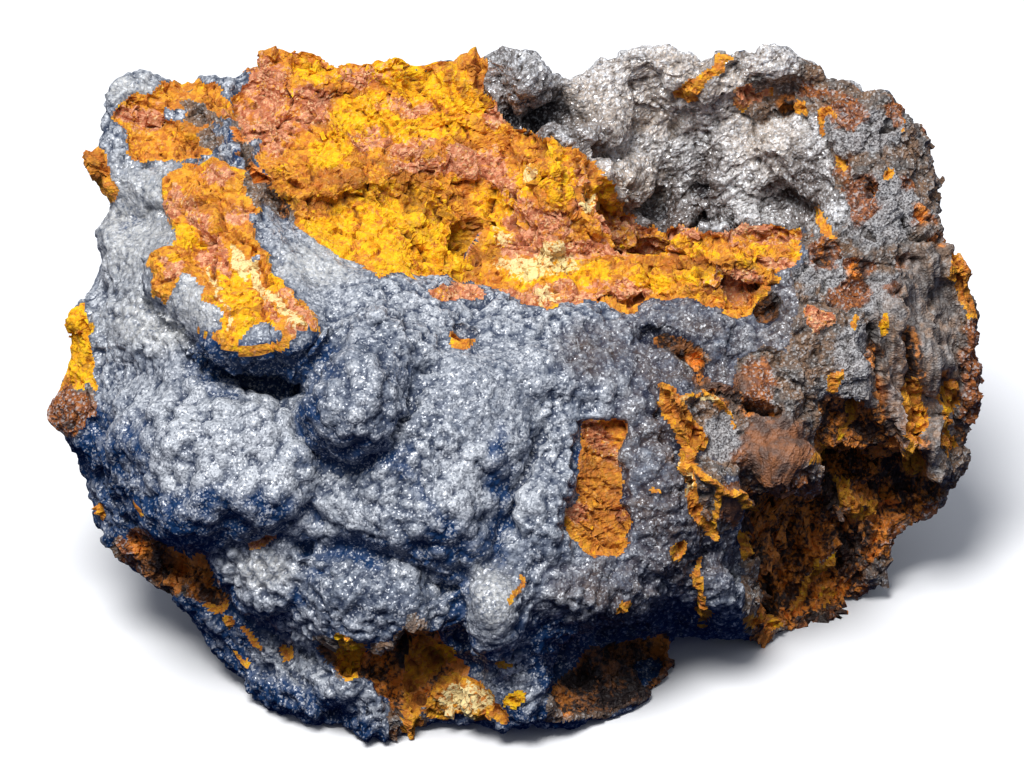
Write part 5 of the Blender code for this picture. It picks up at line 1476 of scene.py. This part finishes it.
# Plates and columns that broke smoothly, and recesses and holes that are painted dark as shade.
PLAIN_GOETHITE = [
    ((776, 450), (36, 38)), ((820, 320), (20, 18)), ((757, 385), (18, 28)), ((738, 505), (20, 20)),
    ((719, 445), (20, 28)), ((925, 360), (34, 120)), ((890, 340), (20, 70)),
]
PLATE_GOETHITE = [((776, 450), (36, 38)), ((738, 505), (18, 18)), ((720, 380), (30, 14))]
SHADED_GOETHITE = [
    ((769, 310), (14, 20)), ((672, 348), (28, 12)), ((616, 676), (60, 44)), ((160, 565), (20, 14)),
    ((330, 655), (14, 16)), ((404, 650), (10, 20)),
]
COLUMN_GOETHITE = [((926, 350), (34, 120)), ((888, 380), (22, 80))]
RECESS = [((830, 540), (100, 90)), ((800, 600), (70, 50))]
# Sizes of the goethite's chips in metres.
LARGE_CHIP = 3.6 * MM
MIDDLE_CHIP = 1.5 * MM
RECESS_SLAB = 6.0 * MM
plain_goethite = oval_share(PLAIN_GOETHITE, 0.3)
recess_share = oval_share(RECESS, 0.1)


def goethite_relief(own):
    """Fibres, and chips on them where the stone is broken, with slabs and gaps in the recess."""
    here = places[own]
    bent_here = here + 0.6 * MM * drift(here, 1.8 * MM, 81)
    large, large_seam = chips(bent_here, LARGE_CHIP, 84)
    middle = chips(bent_here, MIDDLE_CHIP, 85)[0]
    fibres = waver(here * (1.0, 1.0, 0.16), 0.55 * MM, 86)
    slabs, slab_seam = chips(bent_here, RECESS_SLAB, 89)
    broken = (
        0.55 * large + 0.3 * middle - 0.35 * ramp(large_seam, 0.12, 0.0)
        - 0.5 * ramp(waver(here, 2.4 * MM, 87), 0.3, 0.5)
        + 0.12 * (buds(here, 0.55 * MM, 88) - 0.5) + 0.06 * grit_of(own, 0)
        + recess_share[own] * (0.9 * slabs - 0.9 * ramp(slab_seam, 0.12, 0.0))
    )
    return broken * (1 - 0.85 * plain_goethite[own]) + 0.3 * fibres


def fibrous():
    """The finish of goethite: grey and rust over brown, striped on the columns and plainer on the plates,
    with pale glints and dark shade painted on.
    """
    paint = Paint(bpy.data.materials.new("goethite"))
    plate, column = map(paint.mask, ("plate", "column"))
    stripe = paint.cloud(0.7 * MM, 3.0, (1.0, 1.0, 0.1))
    blotch = paint.cloud(1.8 * MM, 5.0)
    fleck = paint.cloud(0.5 * MM, 4.0)
    vein = paint.cloud(2.6 * MM, 4.0, (0.9, 0.9, 0.5))
    speck = paint.cloud(0.22 * MM, 3.0)
    rusted = paint.mask("rust") + blotch * 1.4 - 0.75 + paint.mask("tone") * 0.3
    pale_stripe = paint.mix(blotch.ramp(0.4, 0.6), pigment(166, 158, 152), pigment(162, 132, 108))
    colour = paint.layered(pigment(100, 94, 90), [
        (blotch.ramp(0.35, 0.62), pigment(134, 104, 80)),
        (
            (paint.mask("grey") + fleck - 0.5).ramp(0.3, 0.8) * 0.85,
            paint.mix(speck.ramp(0.44, 0.56), pigment(110, 108, 110), pigment(172, 171, 172)),
        ),
        (
            rusted.ramp(0.35, 0.8) * 0.85,
            paint.mix(fleck.ramp(0.4, 0.65), pigment(118, 58, 20), pigment(188, 108, 36)),
        ),
        (column * 0.85, paint.mix(stripe.ramp(0.4, 0.62), pigment(96, 84, 76), pale_stripe)),
        (plate, paint.mix(blotch.ramp(0.4, 0.65), pigment(100, 76, 64), pigment(148, 95, 60))),
        # Painted glints: pale specks where the stone would catch the light, fewer on plates and columns.
        (
            paint.chance(0.25 * MM).ramp(0.66, 0.76) * (0.5 - plate * 0.45 - column * 0.3),
            pigment(206, 204, 202),
        ),
        (speck.ramp(0.46, 0.36) * (0.55 - plate * 0.4 - column * 0.45), pigment(48, 38, 34)),
        # Painted shade: creases darkened, shaded places painted nearly black with orange flecks left in
        # them, and the listed recesses and holes darker still.
        (paint.mask("crease") * (0.6 + fleck * 0.6), pigment(40, 26, 16)),
        (
            paint.mask("shade") * (1.3 - fleck * 0.5),
            paint.mix((fleck * 0.7 + vein).ramp(0.77, 0.99), pigment(42, 22, 14), pigment(252, 152, 48)),
        ),
        (paint.mask("dark") * 0.75, pigment(24, 16, 20)),
    ])
    relief = paint.bumps(paint.grains(0.25 * MM), 0.14 * MM, 0.7)
    return paint.finish(Base_Color=colour, Roughness=0.6, Metallic=0.05, Normal=relief)


raise_relief(GOETHITE, goethite_relief)
goethite_creases = hollow_depth(rounds=6)
goethite_finish = fibrous()
# Crease, shade and dark steer the goethite's painted shade.
goethite_masks = {
    "grey": oval_share(GREY_GOETHITE, 0.4), "plate": oval_share(PLATE_GOETHITE, 0.3),
    "rust": np.maximum(oval_share(RUST_GOETHITE, 0.4), chance_share(4.0, 104, 0.0)),
    "column": oval_share(COLUMN_GOETHITE, 0.3), "crease": ramp(goethite_creases, 0.02, 0.35),
    "shade": 0.8 * ramp(sky, 0.35, 0.08), "dark": oval_share(SHADED_GOETHITE, 0.4),
}
cut_piece("goethite_brown", face_mineral == GOETHITE, goethite_finish, goethite_masks)
normals = normals_of(places, faces)
# The chips get less painted crease shade.
goethite_masks["crease"] = 0.2 * goethite_masks["crease"]
rubble(
    "goethite_rubble", kind=GOETHITE, bare=plain_goethite, count=1300,
    half=(0.6, 0.4, 0.28), way=(0.3, 0.0, -0.4), jitter=0.6, sink=0.75, paint=goethite_finish,
    masks=goethite_masks, seed=95,
)
rubble(
    "goethite_splinters", kind=GOETHITE, bare=1 - recess_share, count=420,
    half=(1.5, 0.4, 0.26), way=(0.6, 0.0, 1.8), jitter=0.25, sink=0.7, paint=goethite_finish,
    masks=goethite_masks, seed=97,
)
